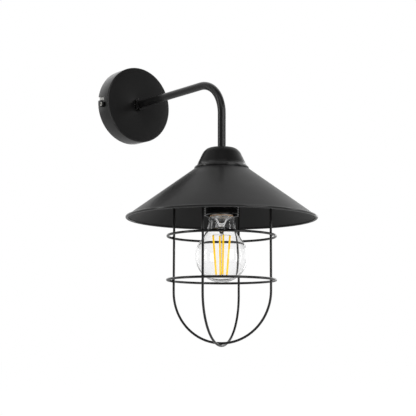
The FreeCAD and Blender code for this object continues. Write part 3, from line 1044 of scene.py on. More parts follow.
@dataclass(frozen=True)
class PowderCoat(Finish):
    """Satin powder coat: a fine even orange peel with slightly uneven gloss."""

    specular: float = 0.18
    coat: float = 0.08
    coat_roughness: float = 0.16
    peel: float = 0.9
    cloud: float = 26.0
    depth: float = 0.006

    def mix(self, recipe: Recipe) -> None:
        """Mix the material.

        Args:
            recipe: The recipe to fill.
        """
        fine = recipe.grain(self.peel, 3.0)
        broad = recipe.grain(self.cloud, 2.0)
        mixed = broad * 0.6 + fine * 0.4
        rough = recipe.spread(mixed, self.roughness - 0.07, self.roughness + 0.07)
        recipe.set(Base_Color=recipe.tinted(self.colour, 0.8, 1.2, broad), Roughness=rough,
                   Specular_IOR_Level=self.specular, Coat_Weight=self.skin(recipe),
                   Coat_Roughness=self.coat_roughness, Normal=recipe.bump(fine, self.depth, 0.5))

    def skin(self, recipe: Recipe) -> Term:
        """Weight of the coat's clear skin."""
        return self.coat


@dataclass(frozen=True)
class RimmedCoat(PowderCoat):
    """Powder coat that has flowed out glossier on rims and rolls.

    These lie between some distances from an axis, in millimetres.
    """

    axis: Axis = HEAD
    rims: tuple[tuple[float, float], ...] = ()
    rim_coat: float = 0.7

    def skin(self, recipe: Recipe) -> Term:
        """Weight of the coat's clear skin.

        Args:
            recipe: The recipe to fill.

        Returns:
            The weight, higher on the rims.
        """
        origin = tuple(v * MM for v in self.axis.origin)
        away = recipe.out("ShaderNodeVectorMath", {"operation": "SUBTRACT"},
                          {0: recipe.place, 1: origin})
        aside = recipe.out("ShaderNodeVectorMath", {"operation": "CROSS_PRODUCT"},
                           {0: away, 1: self.axis.along})
        reach = recipe.out("ShaderNodeVectorMath", {"operation": "LENGTH"}, {0: aside}, "Value")
        weight = self.coat
        for low, high in self.rims:
            within = reach.above(low * MM) - reach.above(high * MM)
            weight = weight + within * (self.rim_coat - self.coat)
        return weight


@dataclass(frozen=True)
class Plated(Finish):
    """Plated or drawn metal: clouded gloss with faint draw lines."""

    draw: tuple[float, float, float] = (1.0, 1.0, 8.0)

    def mix(self, recipe: Recipe) -> None:
        """Mix the material.

        Args:
            recipe: The recipe to fill.
        """
        cloud = recipe.grain(6.0, 3.0)
        lines = recipe.grain(0.5, 2.0, recipe.stretched(self.draw))
        mixed = cloud * 0.5 + lines * 0.5
        recipe.set(Base_Color=recipe.tinted(self.colour, 0.82, 1.0, cloud), Metallic=1.0,
                   Roughness=recipe.spread(mixed, self.roughness - 0.1, self.roughness + 0.12),
                   Normal=recipe.bump(lines, 0.01, 0.4))


@dataclass(frozen=True)
class Moulded(Finish):
    """Moulded plastic or fired ceramic with a fine tooled grain."""

    grain: float = 0.3
    depth: float = 0.008

    def mix(self, recipe: Recipe) -> None:
        """Mix the material.

        Args:
            recipe: The recipe to fill.
        """
        fine = recipe.grain(self.grain, 2.0)
        cloud = recipe.grain(9.0, 3.0)
        recipe.set(Base_Color=recipe.tinted(self.colour, 0.88, 1.0, cloud),
                   Roughness=recipe.spread(cloud, self.roughness - 0.08, self.roughness + 0.08),
                   Normal=recipe.bump(fine, self.depth, 0.5))


@dataclass(frozen=True)
class Cement(Finish):
    """Baked cement: gritty, with darker and paler spots."""

    def mix(self, recipe: Recipe) -> None:
        """Mix the material.

        Args:
            recipe: The recipe to fill.
        """
        grit = recipe.grain(0.5, 5.0)
        recipe.set(Base_Color=recipe.tinted(self.colour, 0.5, 1.5, grit), Roughness=self.roughness,
                   Normal=recipe.bump(grit, 0.12, 1.0))


@dataclass(frozen=True)
class ClearGlass(Finish):
    """Clear blown glass with a trace of unevenness."""

    def mix(self, recipe: Recipe) -> None:
        """Mix the material.

        Args:
            recipe: The recipe to fill.
        """
        wave = recipe.grain(22.0, 1.0)
        recipe.set(Base_Color=self.colour, Roughness=recipe.spread(wave, 0.0, self.roughness),
                   Transmission_Weight=1.0, IOR=1.47, Normal=recipe.bump(wave, 0.05, 0.3))


@dataclass(frozen=True)
class Phosphor(Finish):
    """Silicone with phosphor in it, over a row of chips that show as paler spots; the unlit strips
    glow with painted light.
    """

    # painted light: emission strength that makes the strips shine from within
    glow: float = 0.85
    chip_pitch: float = 1.6

    def mix(self, recipe: Recipe) -> None:
        """Mix the material.

        Args:
            recipe: The recipe to fill.
        """
        speckle = recipe.grain(0.5, 3.0)
        height = recipe.out("ShaderNodeSeparateXYZ", {}, {0: recipe.place}, "Z")
        chips = (height * (2 * math.pi / (self.chip_pitch * MM))).maths("SINE")
        pale = recipe.spread(chips, 0.35, 0.65) * 0.6 + speckle * 0.4
        tone = recipe.tinted(self.colour, 0.8, 1.0, pale)
        # painted light: the strips' own colour is also emitted, so they shine although the bulb is
        # off
        recipe.set(Base_Color=tone, Roughness=self.roughness, Emission_Color=tone,
                   Emission_Strength=self.glow, Normal=recipe.bump(pale, 0.05, 0.5))


@dataclass(frozen=True)
class Insulation(Finish):
    """Extruded core insulation, plain or with a second colour in a stripe."""

    stripe: Optional[Colour] = None

    def mix(self, recipe: Recipe) -> None:
        """Mix the material.

        Args:
            recipe: The recipe to fill.
        """
        cloud = recipe.grain(5.0, 2.0)
        tone = recipe.tinted(self.colour, 0.85, 1.0, cloud)
        if self.stripe is not None:
            side = recipe.out("ShaderNodeSeparateXYZ", {}, {0: recipe.place}, "Z")
            tone = recipe.blend(tone, (*self.stripe, 1.0), side.above(0.0))
        recipe.set(Base_Color=tone,
                   Roughness=recipe.spread(cloud, self.roughness - 0.06, self.roughness + 0.06),
                   Normal=recipe.bump(recipe.grain(0.8, 2.0), 0.01, 0.4))


BLACK = (0.0060, 0.0059, 0.0058)
PAINT = PowderCoat(Slot.BLACK_PAINT, BLACK, 0.40)
TUBE_PAINT = PowderCoat(Slot.BLACK_PAINT, BLACK, 0.40, "_tube", coat=0.7)
ROSE_PAINT = RimmedCoat(Slot.BLACK_PAINT, BLACK, 0.40, "_rose", axis=WALL, rims=((47.0, 60.0),))
SHADE_PAINT = RimmedCoat(Slot.BLACK_PAINT, BLACK, 0.42, "_shade",
                         rims=((27.8, 32.2), (107.2, 120.0)))
ZINC = Plated(Slot.ZINC, (0.60, 0.60, 0.58), 0.36)
NICKEL = Plated(Slot.ZINC, (0.72, 0.71, 0.68), 0.24, "_bright")
PLASTIC = Moulded(Slot.BLACK_PLASTIC, (0.007, 0.007, 0.007), 0.22)
CERAMIC = Moulded(Slot.WHITE, (0.74, 0.73, 0.69), 0.42)
BRASS = Plated(Slot.BRASS, (0.72, 0.49, 0.20), 0.32)
CAP_METAL = Plated(Slot.CAP_METAL, (0.74, 0.73, 0.71), 0.26)
SOLDER = Plated(Slot.CONTACT, (0.62, 0.61, 0.59), 0.34)
BLACK_GLASS = Moulded(Slot.BLACK_GLASS, (0.012, 0.011, 0.012), 0.16, grain=1.5)
CEMENT = Cement(Slot.CEMENT, (0.62, 0.37, 0.19), 0.9)
GLASS = ClearGlass(Slot.GLASS, (1.0, 1.0, 1.0), 0.012)
LEAD = Plated(Slot.LEAD, (0.62, 0.60, 0.57), 0.36)
# filament strips: yellow phosphor that glows with painted light
PHOSPHOR = Phosphor(Slot.FILAMENT, (1.0, 0.61, 0.006), 0.5)
BROWN_CORE = Insulation(Slot.BROWN, (0.11, 0.045, 0.018), 0.45)
BLUE_CORE = Insulation(Slot.BLUE, (0.02, 0.09, 0.36), 0.45)
GREEN_CORE = Insulation(Slot.GREEN, (0.05, 0.26, 0.06), 0.45, stripe=(0.72, 0.60, 0.05))


# ---------------------------------------------------------------- sub-assemblies
@dataclass
class SubAssembly:
    """Pieces that are built together and ride on one body."""

    body: str = "fixture"

    def dress(self, obj: bpy.types.Object, finish: Finish, *nodes: str) -> bpy.types.Object:
        """Give a piece its finish and body, and say which CAD nodes it stands for.

        Args:
            obj: The piece.
            finish: Its finish.
            *nodes: CAD nodes that it stands for.

        Returns:
            The piece.
        """
        obj.data.materials.clear()
        obj.data.materials.append(finish.material())
        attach(obj, self.body)
        if nodes:
            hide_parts(*nodes)
        LOG.info("%s: %d faces, for %s", obj.name, len(obj.data.polygons),
                 ", ".join(nodes) or "detail")
        return obj


def slotted_screw(name: str, seat: Vector, radius: float, height: float) -> bpy.types.Object:
    """Pan head with a driver slot, that faces the room.

    Args:
        name: Name of the piece.
        seat: Middle of its underside, in metres.
        radius: Radius of the head, in millimetres.
        height: Height of the head, in millimetres.

    Returns:
        The finished object.
    """
    axis = Axis(tuple(seat / MM), (0.0, -1.0, 0.0))
    piece = turned(name, [Corner(0.0, 0.0), Corner(radius, 0.0),
                          Corner(radius, height, height * 0.45), Corner(0.0, height)], axis, 32)
    x, y, z = seat / MM
    blade = Workpiece.brick("tool", (x - radius * 1.3, y - height - 1.0, z - radius * 0.14),
                            (x + radius * 1.3, y - height * 0.45, z + radius * 0.14))
    return smoothed(carve(piece, blade.close()))


@dataclass
class WallRose(SubAssembly):
    """Cup on the wall with its bayonet slots, locking screws and bracket, in millimetres."""

    radius: float = 48.5
    depth: float = 22.0
    wall: float = 1.0
    arm_hole: float = 5.05
    hole_edge: float = 0.25
    edge: float = 1.3
    lip: float = 0.3
    sides: int = 144
    slot_width: float = 4.7
    slot_depth: float = 11.0
    slot_reach: tuple[float, float] = (5.0, 3.0)
    notch_rise: float = 4.2
    notch_edge: float = 0.8
    screw_drop: float = 4.65
    screw_head: float = 3.8
    screw_seat: float = 48.65
    screw_height: float = 3.0
    screw_length: float = 8.0
    screw_bore: float = 2.05
    pocket: float = 2.75
    pocket_depth: float = 1.5
    pin: float = 2.0
    pin_head: float = 2.65
    pin_sunk: float = 0.35
    socket: float = 1.6
    clamp_head: tuple[float, float] = (2.0, 0.8)
    clamp_places: tuple[tuple[float, float, float], ...] = (
        (-5.0, -12.5, -24.95), (-5.0, -12.5, -18.05), (5.0, -12.5, -24.95), (5.0, -12.5, -18.05))
    earth_head: tuple[float, float] = (3.5, 2.4)
    earth_place: tuple[float, float, float] = (15.0, -1.5, 0.0)

    def cover(self) -> None:
        """Turn the cup and cut its two slots."""
        inner, back = self.radius - self.wall, self.depth - self.wall
        cup = turned("rose_cup", [
            Corner(self.arm_hole, self.depth, self.hole_edge),
            Corner(self.radius, self.depth, self.edge), Corner(self.radius, 0.0, self.lip),
            Corner(inner, 0.0, self.lip), Corner(inner, back, self.edge * 0.6),
            Corner(self.arm_hole, back, self.hole_edge)], WALL, self.sides)
        for side in Side:
            self.slot(cup, side)
        self.dress(smoothed(cup), ROSE_PAINT, "rose_cover")

    def slot(self, cup: bpy.types.Object, side: Side) -> None:
        """Cut one slot: the upright run with its round locked end, and the notch to the wall.

        Args:
            cup: The cup.
            side: Side of the rose that the slot is on.
        """
        half = self.slot_width / 2
        near, far = -self.slot_depth + half, -self.slot_depth - half
        high = -self.notch_rise * side.value
        end = self.screw_drop * side.value + side.value * half
        xs = sorted((side.value * (self.radius - self.slot_reach[0]),
                     side.value * (self.radius + self.slot_reach[1])))
        levels = sorted((end, high))
        run = Workpiece.brick("tool", (xs[0], far, levels[0]), (xs[1], near, levels[1]))
        run.pick_edges(lambda a, b, _: abs(a.z - end * MM) < MERGE and abs(b.z - end * MM) < MERGE
                       and abs(a.x - b.x) > MM)
        run.soften(half * 0.98, 6)
        carve(cup, run.close())
        notch = Workpiece.brick("tool", (xs[0], far, high - half), (xs[1], 2.0, high + half))
        notch.pick_edges(lambda a, b, _: max(a.y, b.y) < -0.01 and abs(a.x - b.x) > MM)
        notch.soften(self.notch_edge, 3)
        carve(cup, notch.close())

    def screws(self) -> None:
        """Black collar and bright socket screw at the locked end of each slot."""
        axis = Axis((0.0, -self.slot_depth, self.screw_drop), (1.0, 0.0, 0.0), (0.0, 0.0, 1.0))
        seat, top, r = self.screw_seat, self.screw_seat + self.screw_height, self.screw_head
        floor, foot, crown = top - self.pocket_depth, seat - self.screw_length, top - self.pin_sunk
        collar = turned("side_collar_east", [
            Corner(self.screw_bore, seat), Corner(r, seat, 0.25), Corner(r, top, 0.55),
            Corner(self.pocket, top, 0.3), Corner(self.pocket, floor, 0.1),
            Corner(self.screw_bore, floor)], axis, 48)
        pin = turned("side_pin_east", [
            Corner(0.0, foot), Corner(self.pin - 0.5, foot, 0.3), Corner(self.pin, foot + 1.0),
            Corner(self.pin, floor + 0.05), Corner(self.pin_head, floor + 0.05, 0.1),
            Corner(self.pin_head, crown, 0.3), Corner(0.0, crown)], axis, 48)
        socket = Workpiece.hoop("tool", axis.at(0, top + 1.0), self.socket, Vector(axis.along), 6)
        bpy.ops.mesh.edge_face_add()
        socket.push(Vector(axis.along) * (-(self.socket + 1.0) * MM))
        socket.merge()
        carve(pin, socket.close())
        smoothed(pin, FINE_SMOOTH)
        across = Matrix.Rotation(math.pi, 4, "Y")
        for piece, finish in ((collar, PAINT), (pin, NICKEL)):
            other = copied(piece, piece.name.replace("east", "west"), across)
            self.dress(piece, finish, "side_screws")
            self.dress(other, finish, "side_screws")

    def inside(self) -> None:
        """Bracket, terminal block and earth point behind the cup."""
        for node, edge, finish in (("wall_bracket", 0.25, ZINC), ("terminal_block", 0.5, CERAMIC),
                                   ("earth_tag", 0.1, BRASS)):
            self.dress(eased_copy(node, edge), finish, node)
        first = Vector(self.clamp_places[0])
        clamp = slotted_screw("terminal_screw_1", first * MM, *self.clamp_head)
        self.dress(clamp, BRASS, "terminal_screws")
        for number, place in enumerate(self.clamp_places[1:], 2):
            move = Matrix.Translation((Vector(place) - first) * MM)
            self.dress(copied(clamp, "terminal_screw_%d" % number, move), BRASS, "terminal_screws")
        earth = slotted_screw("earth_screw_head", Vector(self.earth_place) * MM, *self.earth_head)
        self.dress(earth, ZINC, "earth_screw")

    def build(self) -> None:
        """Make every piece of the wall end."""
        self.cover()
        self.screws()
        self.inside()


@dataclass
class Arm(SubAssembly):
    """Bent tube with its nuts and washer, in millimetres."""

    radius: float = 4.75
    wall: float = 0.8
    bend: float = 40.0
    start: float = 15.0
    end: float = 92.0
    clearance: float = 0.1
    nut_flats: float = 14.0
    nut_height: float = 3.0
    nut_chamfer: tuple[float, float] = (0.75, 0.55)
    back_nut_seat: float = 20.5
    washer_seat: float = 22.0
    washer_radius: float = 7.5
    washer_height: float = 0.8
    teeth: int = 14
    tooth_length: float = 1.2
    tooth_gap: float = 0.87
    tooth_twist: float = 0.3

    def tube(self) -> None:
        """Bend the tube and give it its wall."""
        line = [Vector((0, -self.start, 0)) * MM, Vector((0, -REACH, 0)) * MM,
                Vector((0, -REACH, -self.end)) * MM]
        tube = tubed("arm_pipe", line, [self.bend], self.radius, 48, 3.0, capped=False)
        modified(tube, "SOLIDIFY", {"thickness": self.wall * MM, "offset": -1.0,
                                    "use_even_offset": True})
        self.dress(smoothed(tube), TUBE_PAINT, "arm_tube")

    def nut(self, name: str, seat: float, node: str, finish: Finish, outwards: int) -> None:
        """Hexagon nut with chamfered corners and a bore.

        Args:
            name: Name of the piece.
            seat: Distance of its seat from the wall.
            node: CAD node that it stands for.
            finish: Its finish.
            outwards: 1 if it stands towards the room, -1 towards the wall.
        """
        corner = self.nut_flats / math.sqrt(3)
        blank = Workpiece.hoop(name, WALL.at(0, seat), corner, Vector((0, -1, 0)), 6)
        bpy.ops.mesh.edge_face_add()
        blank.push(Vector((0, -outwards * self.nut_height, 0)) * MM)
        blank.merge()
        low, high = sorted((seat, seat + outwards * self.nut_height))
        bore, (inset, drop), spare = self.radius + self.clearance, self.nut_chamfer, 0.01
        barrel = turned("tool", [
            Corner(bore, low - spare), Corner(corner - inset, low - spare),
            Corner(corner, low + drop), Corner(corner, high - drop),
            Corner(corner - inset, high + spare), Corner(bore, high + spare)], WALL, 96)
        self.dress(smoothed(carve(blank.obj, barrel, "INTERSECT"), 25.0), finish, node)

    def washer(self) -> None:
        """Shakeproof washer with twisted teeth round its edge."""
        low, high = self.washer_seat, self.washer_seat + self.washer_height
        bore, r = self.radius + self.clearance, self.washer_radius
        root, edge, sides = r - self.tooth_length, r - 0.3, self.teeth * 4
        line = [Corner(bore, low), Corner(root, low), Corner(r, low), Corner(r, high),
                Corner(root, high), Corner(bore, high), Corner(bore, low)]
        piece = Workpiece.dot("arm_washer", WALL.at(bore, low))
        piece.draw([WALL.at(c.r, c.h) for c in line])
        piece.spin_all(WALL, sides)
        piece.merge()
        step = 360.0 / sides
        piece.pick(lambda p: WALL.radius(p) > edge and round(WALL.angle(p) / step) % 4 in (2, 3))
        piece.scale((self.tooth_gap, 1.0, self.tooth_gap), WALL.at(0, 0))
        piece.pick(lambda p: WALL.radius(p) > edge and round(WALL.angle(p) / step) % 4 == 0)
        piece.shift(Vector((0, -self.tooth_twist, 0)) * MM)
        self.dress(piece.finish(FINE_SMOOTH), ZINC, "arm_tooth_washer")

    def build(self) -> None:
        """Make the arm and what fixes it to the rose."""
        self.tube()
        self.washer()
        self.nut("arm_nut", self.washer_seat + self.washer_height, "arm_outer_nut", PAINT, 1)
        self.nut("arm_back_nut", self.back_nut_seat, "arm_inner_nut", ZINC, -1)


@dataclass
class Wiring(SubAssembly):
    """Cores from the terminal block through the arm to the lampholder, in millimetres."""

    radius: float = 1.0
    sides: int = 16
    spacing: float = 1.4
    pole: float = 5.0
    block: tuple[float, float, float] = (-7.0, -18.0, -9.0)
    entry: float = -8.0
    clamp: float = 7.5
    levels: tuple[float, float, float] = (-95.0, -110.0, -116.0)
    bends: tuple[float, ...] = (3.0, 3.0, 40.0, 4.0, 4.0)
    earth: tuple[tuple[float, float, float], ...] = (
        (12.0, -20.5, 0.0), (12.0, -18.0, 0.0), (12.0, -14.0, 0.0), (15.0, -9.0, 0.0),
        (15.0, -6.0, 0.0), (15.0, -3.9, 0.0))

    def core(self, name: str, side: Side, node: str, finish: Finish) -> None:
        """Lay one core from its pole through the arm to its contact.

        Args:
            name: Name of the piece.
            side: Side of the block that it starts from.
            node: CAD node that it stands for.
            finish: Its finish.
        """
        x, pole, clamp = (side.value * reach for reach in (self.spacing, self.pole, self.clamp))
        depth, start, rise = self.block
        spread, contact, end = self.levels
        corners = [(pole, depth, start), (pole, depth, rise), (x, self.entry, 0), (x, -REACH, 0),
                   (x, -REACH, spread), (clamp, -REACH, contact), (clamp, -REACH, end)]
        line = [Vector(c) * MM for c in corners]
        self.dress(tubed(name, line, self.bends, self.radius, self.sides), finish, node)

    def build(self) -> None:
        """Lay the three cores."""
        self.core("live_core", Side.WEST, "live_wire", BROWN_CORE)
        self.core("neutral_core", Side.EAST, "neutral_wire", BLUE_CORE)
        self.dress(coloured_core("earth_core", self.earth, self.radius), GREEN_CORE, "earth_wire")


@dataclass
class Head(SubAssembly):
    """Spun cap and cone shade, in millimetres below the arm's axis."""

    wall: float = 1.0
    hole: float = 5.05
    cap_top: float = -80.2
    crown: tuple[float, float] = (16.5, -81.5)
    shoulder: tuple[float, float] = (21.3, -85.6)
    foot: tuple[float, float] = (29.7, -103.0)
    waist_rise: float = 1.7
    lip_rise: float = 0.5
    flare: float = 0.3
    plate_hole: float = 20.3
    plate: float = -103.0
    plate_edge: float = 31.0
    roll: float = 1.4
    roll_inset: float = 0.65
    neck: tuple[float, float] = (31.6, -105.7)
    groove: tuple[float, float] = (0.55, 0.25)
    brow: float = 0.4
    rim: tuple[float, float] = (108.65, -162.5)
    bead: float = 1.5
    smooth: float = 32.0

    def cap(self) -> None:
        """Turn the cap from its hole to its foot."""
        r, low = self.foot
        slope = (r - self.shoulder[0]) / (self.shoulder[1] - low)
        waist = Corner(r - slope * self.waist_rise - 0.1, low + self.waist_rise, 0.8)
        outline = [Corner(self.hole, self.cap_top, 0.25), Corner(*self.crown, 2.2),
                   Corner(*self.shoulder, 2.6), waist,
                   Corner(r + self.flare, low + self.lip_rise, 0.2),
                   Corner(r + self.flare, low, 0.15)]
        inside = walled(outline[:4], self.wall)[4:]
        section = outline + [Corner(r - self.wall, low, 0.15)] + inside
        self.dress(turned("cap_shell", section, HEAD, 128), SHADE_PAINT, "shade_cap")

    def beside_bead(self, side: float) -> Corner:
        """Where one face of the cone meets the bead.

        Args:
            side: 1 for the upper face, -1 for the lower.

        Returns:
            The corner of the section.
        """
        u = self.fall()
        half = self.wall / 2
        back = math.sqrt(self.bead ** 2 - half ** 2)
        return Corner(self.rim[0] - u[0] * back - u[1] * half * side,
                      self.rim[1] - u[1] * back + u[0] * half * side)

    def fall(self) -> tuple[float, float]:
        """Direction from the neck down the cone to the rim.

        Returns:
            Its run and its rise, of unit length together.
        """
        run, rise = self.rim[0] - self.neck[0], self.rim[1] - self.neck[1]
        length = math.hypot(run, rise)
        return run / length, rise / length

    def shade(self) -> None:
        """Turn the shade: clamping plate, neck with a hollow fillet, cone and rolled bead."""
        u, w = self.fall(), self.wall
        back = math.sqrt(self.bead ** 2 - (w / 2) ** 2)
        start = math.degrees(math.atan2(w / 2, -back))
        tilt = math.degrees(math.atan2(u[1], u[0]))
        bead = arc(self.rim, self.bead, tilt + start, tilt - start, 20)[1:-1]
        middle = (self.plate_edge - self.roll_inset, self.plate - self.roll)
        groove = Corner(self.neck[0] - self.groove[0], self.neck[1] - self.groove[1])
        brow = Corner(self.neck[0] + self.brow, self.neck[1] + self.brow * u[1] / u[0], 0.25)
        outer = [Corner(self.plate_hole, self.plate, 0.2)] + arc(middle, self.roll, 90.0, -58.0, 12)
        outer += [groove, brow, self.beside_bead(1.0)]
        inner = [self.beside_bead(-1.0), Corner(self.neck[0] - 0.75, self.neck[1] - 0.35 * w, 1.8),
                 Corner(self.plate_edge - w, self.plate - w, 0.4),
                 Corner(self.plate_hole, self.plate - w, 0.2)]
        cone = turned("shade_cone", outer + bead + inner, HEAD, 192, self.smooth)
        self.dress(cone, SHADE_PAINT, "shade")

    def build(self) -> None:
        """Make the cap and the shade."""
        self.cap()
        self.shade()


@dataclass
class Lampholder(SubAssembly):
    """Threaded lampholder with its rings and its inside, in millimetres below the arm's axis."""

    thread_pitch: float = 2.5
    crest: float = 20.0
    root: float = 18.6
    flanks: tuple[float, float, float] = (0.14, 0.46, 0.66)
    bore: float = 17.8
    skirt_top: float = -98.0
    skirt_mouth: float = -160.0
    ring_bore: float = 20.1
    ring_radius: float = 28.0
    ring_height: float = 6.0
    ring_tops: tuple[float, float] = (-104.0, -111.5)
    ribs: int = 24
    finger: float = 0.965
    shell_pitch: float = 3.629
    shell_radius: float = 13.45
    shell_depth: float = 0.42
    shell_wall: float = 0.3
    shell_levels: tuple[float, float] = (-131.2, -154.0)
    contact_head: tuple[float, float] = (1.7, 0.8)
    contact_place: tuple[float, float, float] = (-7.5, -191.5, -120.0)
    dome: tuple[Corner, ...] = (
        Corner(4.85, -84.0, 0.2), Corner(7.5, -84.0, 0.5), Corner(7.5, -86.5, 0.6),
        Corner(15.0, -86.5, 2.4), Corner(22.5, -92.5, 1.8), Corner(22.5, -103.0, 0.3),
        Corner(20.3, -103.0, 0.2), Corner(20.3, -95.0, 0.4), Corner(14.0, -88.7, 0.8),
        Corner(4.85, -88.7, 0.2))
    insert: tuple[Corner, ...] = (
        Corner(0.0, -124.0), Corner(14.1, -124.0, 0.4), Corner(14.1, -96.0, 0.3),
        Corner(19.4, -96.0, 0.4), Corner(19.4, -98.0, 0.3), Corner(17.3, -98.0, 0.2),
        Corner(17.3, -157.0, 0.5), Corner(14.15, -157.0, 0.5), Corner(14.15, -131.0, 0.3),
        Corner(0.0, -131.0))
    shell_lip: tuple[Corner, ...] = (
        Corner(13.3, -153.9), Corner(13.95, -153.9), Corner(14.08, -155.0, 0.15),
        Corner(13.6, -155.0, 0.15))
    shell_eye: tuple[Corner, ...] = (
        Corner(5.0, -131.0, 0.1), Corner(14.0, -131.0, 0.15), Corner(14.0, -131.5, 0.1),
        Corner(5.0, -131.4, 0.1))

    def shells(self) -> None:
        """Dome and threaded skirt."""
        self.dress(turned("dome_shell", self.dome), PLASTIC, "holder_dome")
        crest_end, root_start, root_end = self.flanks
        tooth = [Corner(self.crest, 0.0), Corner(self.crest, crest_end),
                 Corner(self.root, root_start), Corner(self.root, root_end),
                 Corner(self.crest, 1.0)]
        skirt = threaded("skirt_thread", tooth, self.thread_pitch, self.skirt_top,
                         self.skirt_mouth, self.bore, 72)
        self.dress(skirt, PLASTIC, "holder_skirt")

    def clamp_ring(self, name: str, top: float, node: str) -> None:
        """Ring with finger grooves round its edge.

        Args:
            name: Name of the piece.
            top: Level of its upper face.
            node: CAD node that it stands for.
        """
        low, r, bore = top - self.ring_height, self.ring_radius, self.ring_bore
        ring = turned(name, [Corner(bore, top, 0.4), Corner(r, top, 0.9), Corner(r, low, 0.9),
                             Corner(bore, low, 0.4)], HEAD, self.ribs * 6)
        piece = Workpiece.reopen(ring)
        step = 60.0 / self.ribs
        piece.pick(lambda p: HEAD.radius(p) > r - 1.0 and round(HEAD.angle(p) / step) % 6 in (3, 4))
        piece.scale((self.finger, self.finger, 1.0), HEAD.at(0, 0))
        self.dress(piece.finish(FINE_SMOOTH), PLASTIC, node)

    def screw_shell(self) -> None:
        """Pressed screw shell with its lip and its inner eye."""
        tooth = round_tooth(self.shell_radius, self.shell_depth)
        sheet = helix("shell_thread", tooth, self.shell_pitch, *self.shell_levels, 64)
        sheet.merge()
        sheet.close()
        modified(sheet.obj, "SOLIDIFY", {"thickness": self.shell_wall * MM, "offset": 0.0,
                                         "use_even_offset": True})
        parts = [sheet.obj, turned("tool", self.shell_lip), turned("tool", self.shell_eye)]
        self.dress(smoothed(joined("shell_thread", parts), ROUND_SMOOTH), BRASS, "screw_shell")

    def inside(self) -> None:
        """Insert, screw shell and contacts."""
        self.dress(turned("insert_body", self.insert), CERAMIC, "holder_insert")
        self.screw_shell()
        for node in ("live_contact", "neutral_contact"):
            self.dress(eased_copy(node, 0.2), BRASS, node)
        place = Vector(self.contact_place) * MM
        clamp = slotted_screw("contact_screw_live", place, *self.contact_head)
        self.dress(clamp, ZINC, "contact_screws")
        move = Matrix.Translation((-2 * place.x, 0.0, 0.0))
        self.dress(copied(clamp, "contact_screw_neutral", move), ZINC, "contact_screws")

    def build(self) -> None:
        """Make the lampholder."""
        self.shells()
        self.clamp_ring("shade_clamp", self.ring_tops[0], "shade_ring")
        self.clamp_ring("cage_clamp", self.ring_tops[1], "cage_ring_nut")
        self.inside()


@dataclass
class Cage(SubAssembly):
    """Wire cage on its carrier, in millimetres below the arm's axis."""

    wire: float = 1.4
    sides: int = 16
    bow_radius: float = 59.0
    bow_centre: float = -246.0
    lower_drop: float = 2.85
    turn: float = 29.8
    ring_reach: float = 61.85
    levels: tuple[float, float] = (-183.5, -233.6)
    tail: tuple[float, float] = (29.2, -112.95)
    knuckle: float = 35.0
    slope: float = math.tan(math.radians(36.4))
    bends: tuple[float, float] = (6.0, 8.0)
    weld: tuple[float, float, float] = (1.0, 1.9, 1.9)
    spatter: float = 0.12
    carrier: tuple[Corner, ...] = (
        Corner(20.3, -110.0, 0.2), Corner(33.0, -110.0, 0.4), Corner(33.0, -111.5, 0.4),
        Corner(20.3, -111.5, 0.2))

    def bow(self, name: str, angle: float, centre: float, node: str) -> None:
        """Bend one wire from tail to tail.

        Args:
            name: Name of the piece.
            angle: Turn of its plane from +X.
            centre: Level of the round bottom's centre.
            node: CAD node that it stands for.
        """
        r, level = self.bow_radius, self.tail[1]
        top = level - (r - self.knuckle) * self.slope
        half = [(self.tail[0], level), (self.knuckle, level), (r, top), (r, centre - r)]
        flat = half + [(-a, b) for a, b in half[::-1]]
        way = spoke(angle)
        corners = [HEAD.at(0, z) + way * (x * MM) for x, z in flat]
        bends = [*self.bends, r, r, *self.bends[::-1]]
        self.dress(tubed(name, corners, bends, self.wire, self.sides, 5.0), TUBE_PAINT, node)

    def weld_bead(self, level: float, angle: float, seed: int) -> bpy.types.Object:
        """Lump of weld between a hoop and a bow.

        Args:
            level: Level of the hoop.
            angle: Turn of the bow's leg from +X.
            seed: Seed of its uneven skin.

        Returns:
            The finished object.
        """
        place = HEAD.at(0, level) + spoke(angle) * ((self.bow_radius + self.wire) * MM)
        weld = Workpiece.ball("weld", place, self.weld)
        bpy.ops.transform.vertex_random(offset=self.spatter * MM, seed=seed)
        weld.finish(ROUND_SMOOTH)
        about = Matrix.Translation(place) @ Matrix.Rotation(math.radians(angle), 4, "Z")
        hold(weld.obj)
        weld.obj.matrix_world = about @ Matrix.Translation(-place)
        bpy.ops.object.transform_apply(location=True, rotation=True, scale=True)
        return weld.obj

    def ring(self, name: str, level: float, node: str) -> None:
        """Hoop round the bows with a weld at each of the four crossings.

        Args:
            name: Name of the piece.
            level: Its level.
            node: CAD node that it stands for.
        """
        hoop = hooped(name, HEAD.at(0, level), self.ring_reach, self.wire, self.sides, 120)
        welds = [self.weld_bead(level, self.turn + 90 * i, i + 1) for i in range(4)]
        self.dress(joined(name, [hoop] + welds), TUBE_PAINT, node)

    def build(self) -> None:
        """Make the carrier, both bows and both hoops."""
        self.dress(turned("carrier_washer", self.carrier), PAINT, "cage_carrier")
        lower = self.bow_centre - self.lower_drop
        self.bow("upper_bow", self.turn - 90, self.bow_centre, "cage_upper_bow")
        self.bow("lower_bow", self.turn, lower, "cage_lower_bow")
        self.ring("upper_hoop", self.levels[0], "cage_upper_ring")
        self.ring("lower_hoop", self.levels[1], "cage_lower_ring")


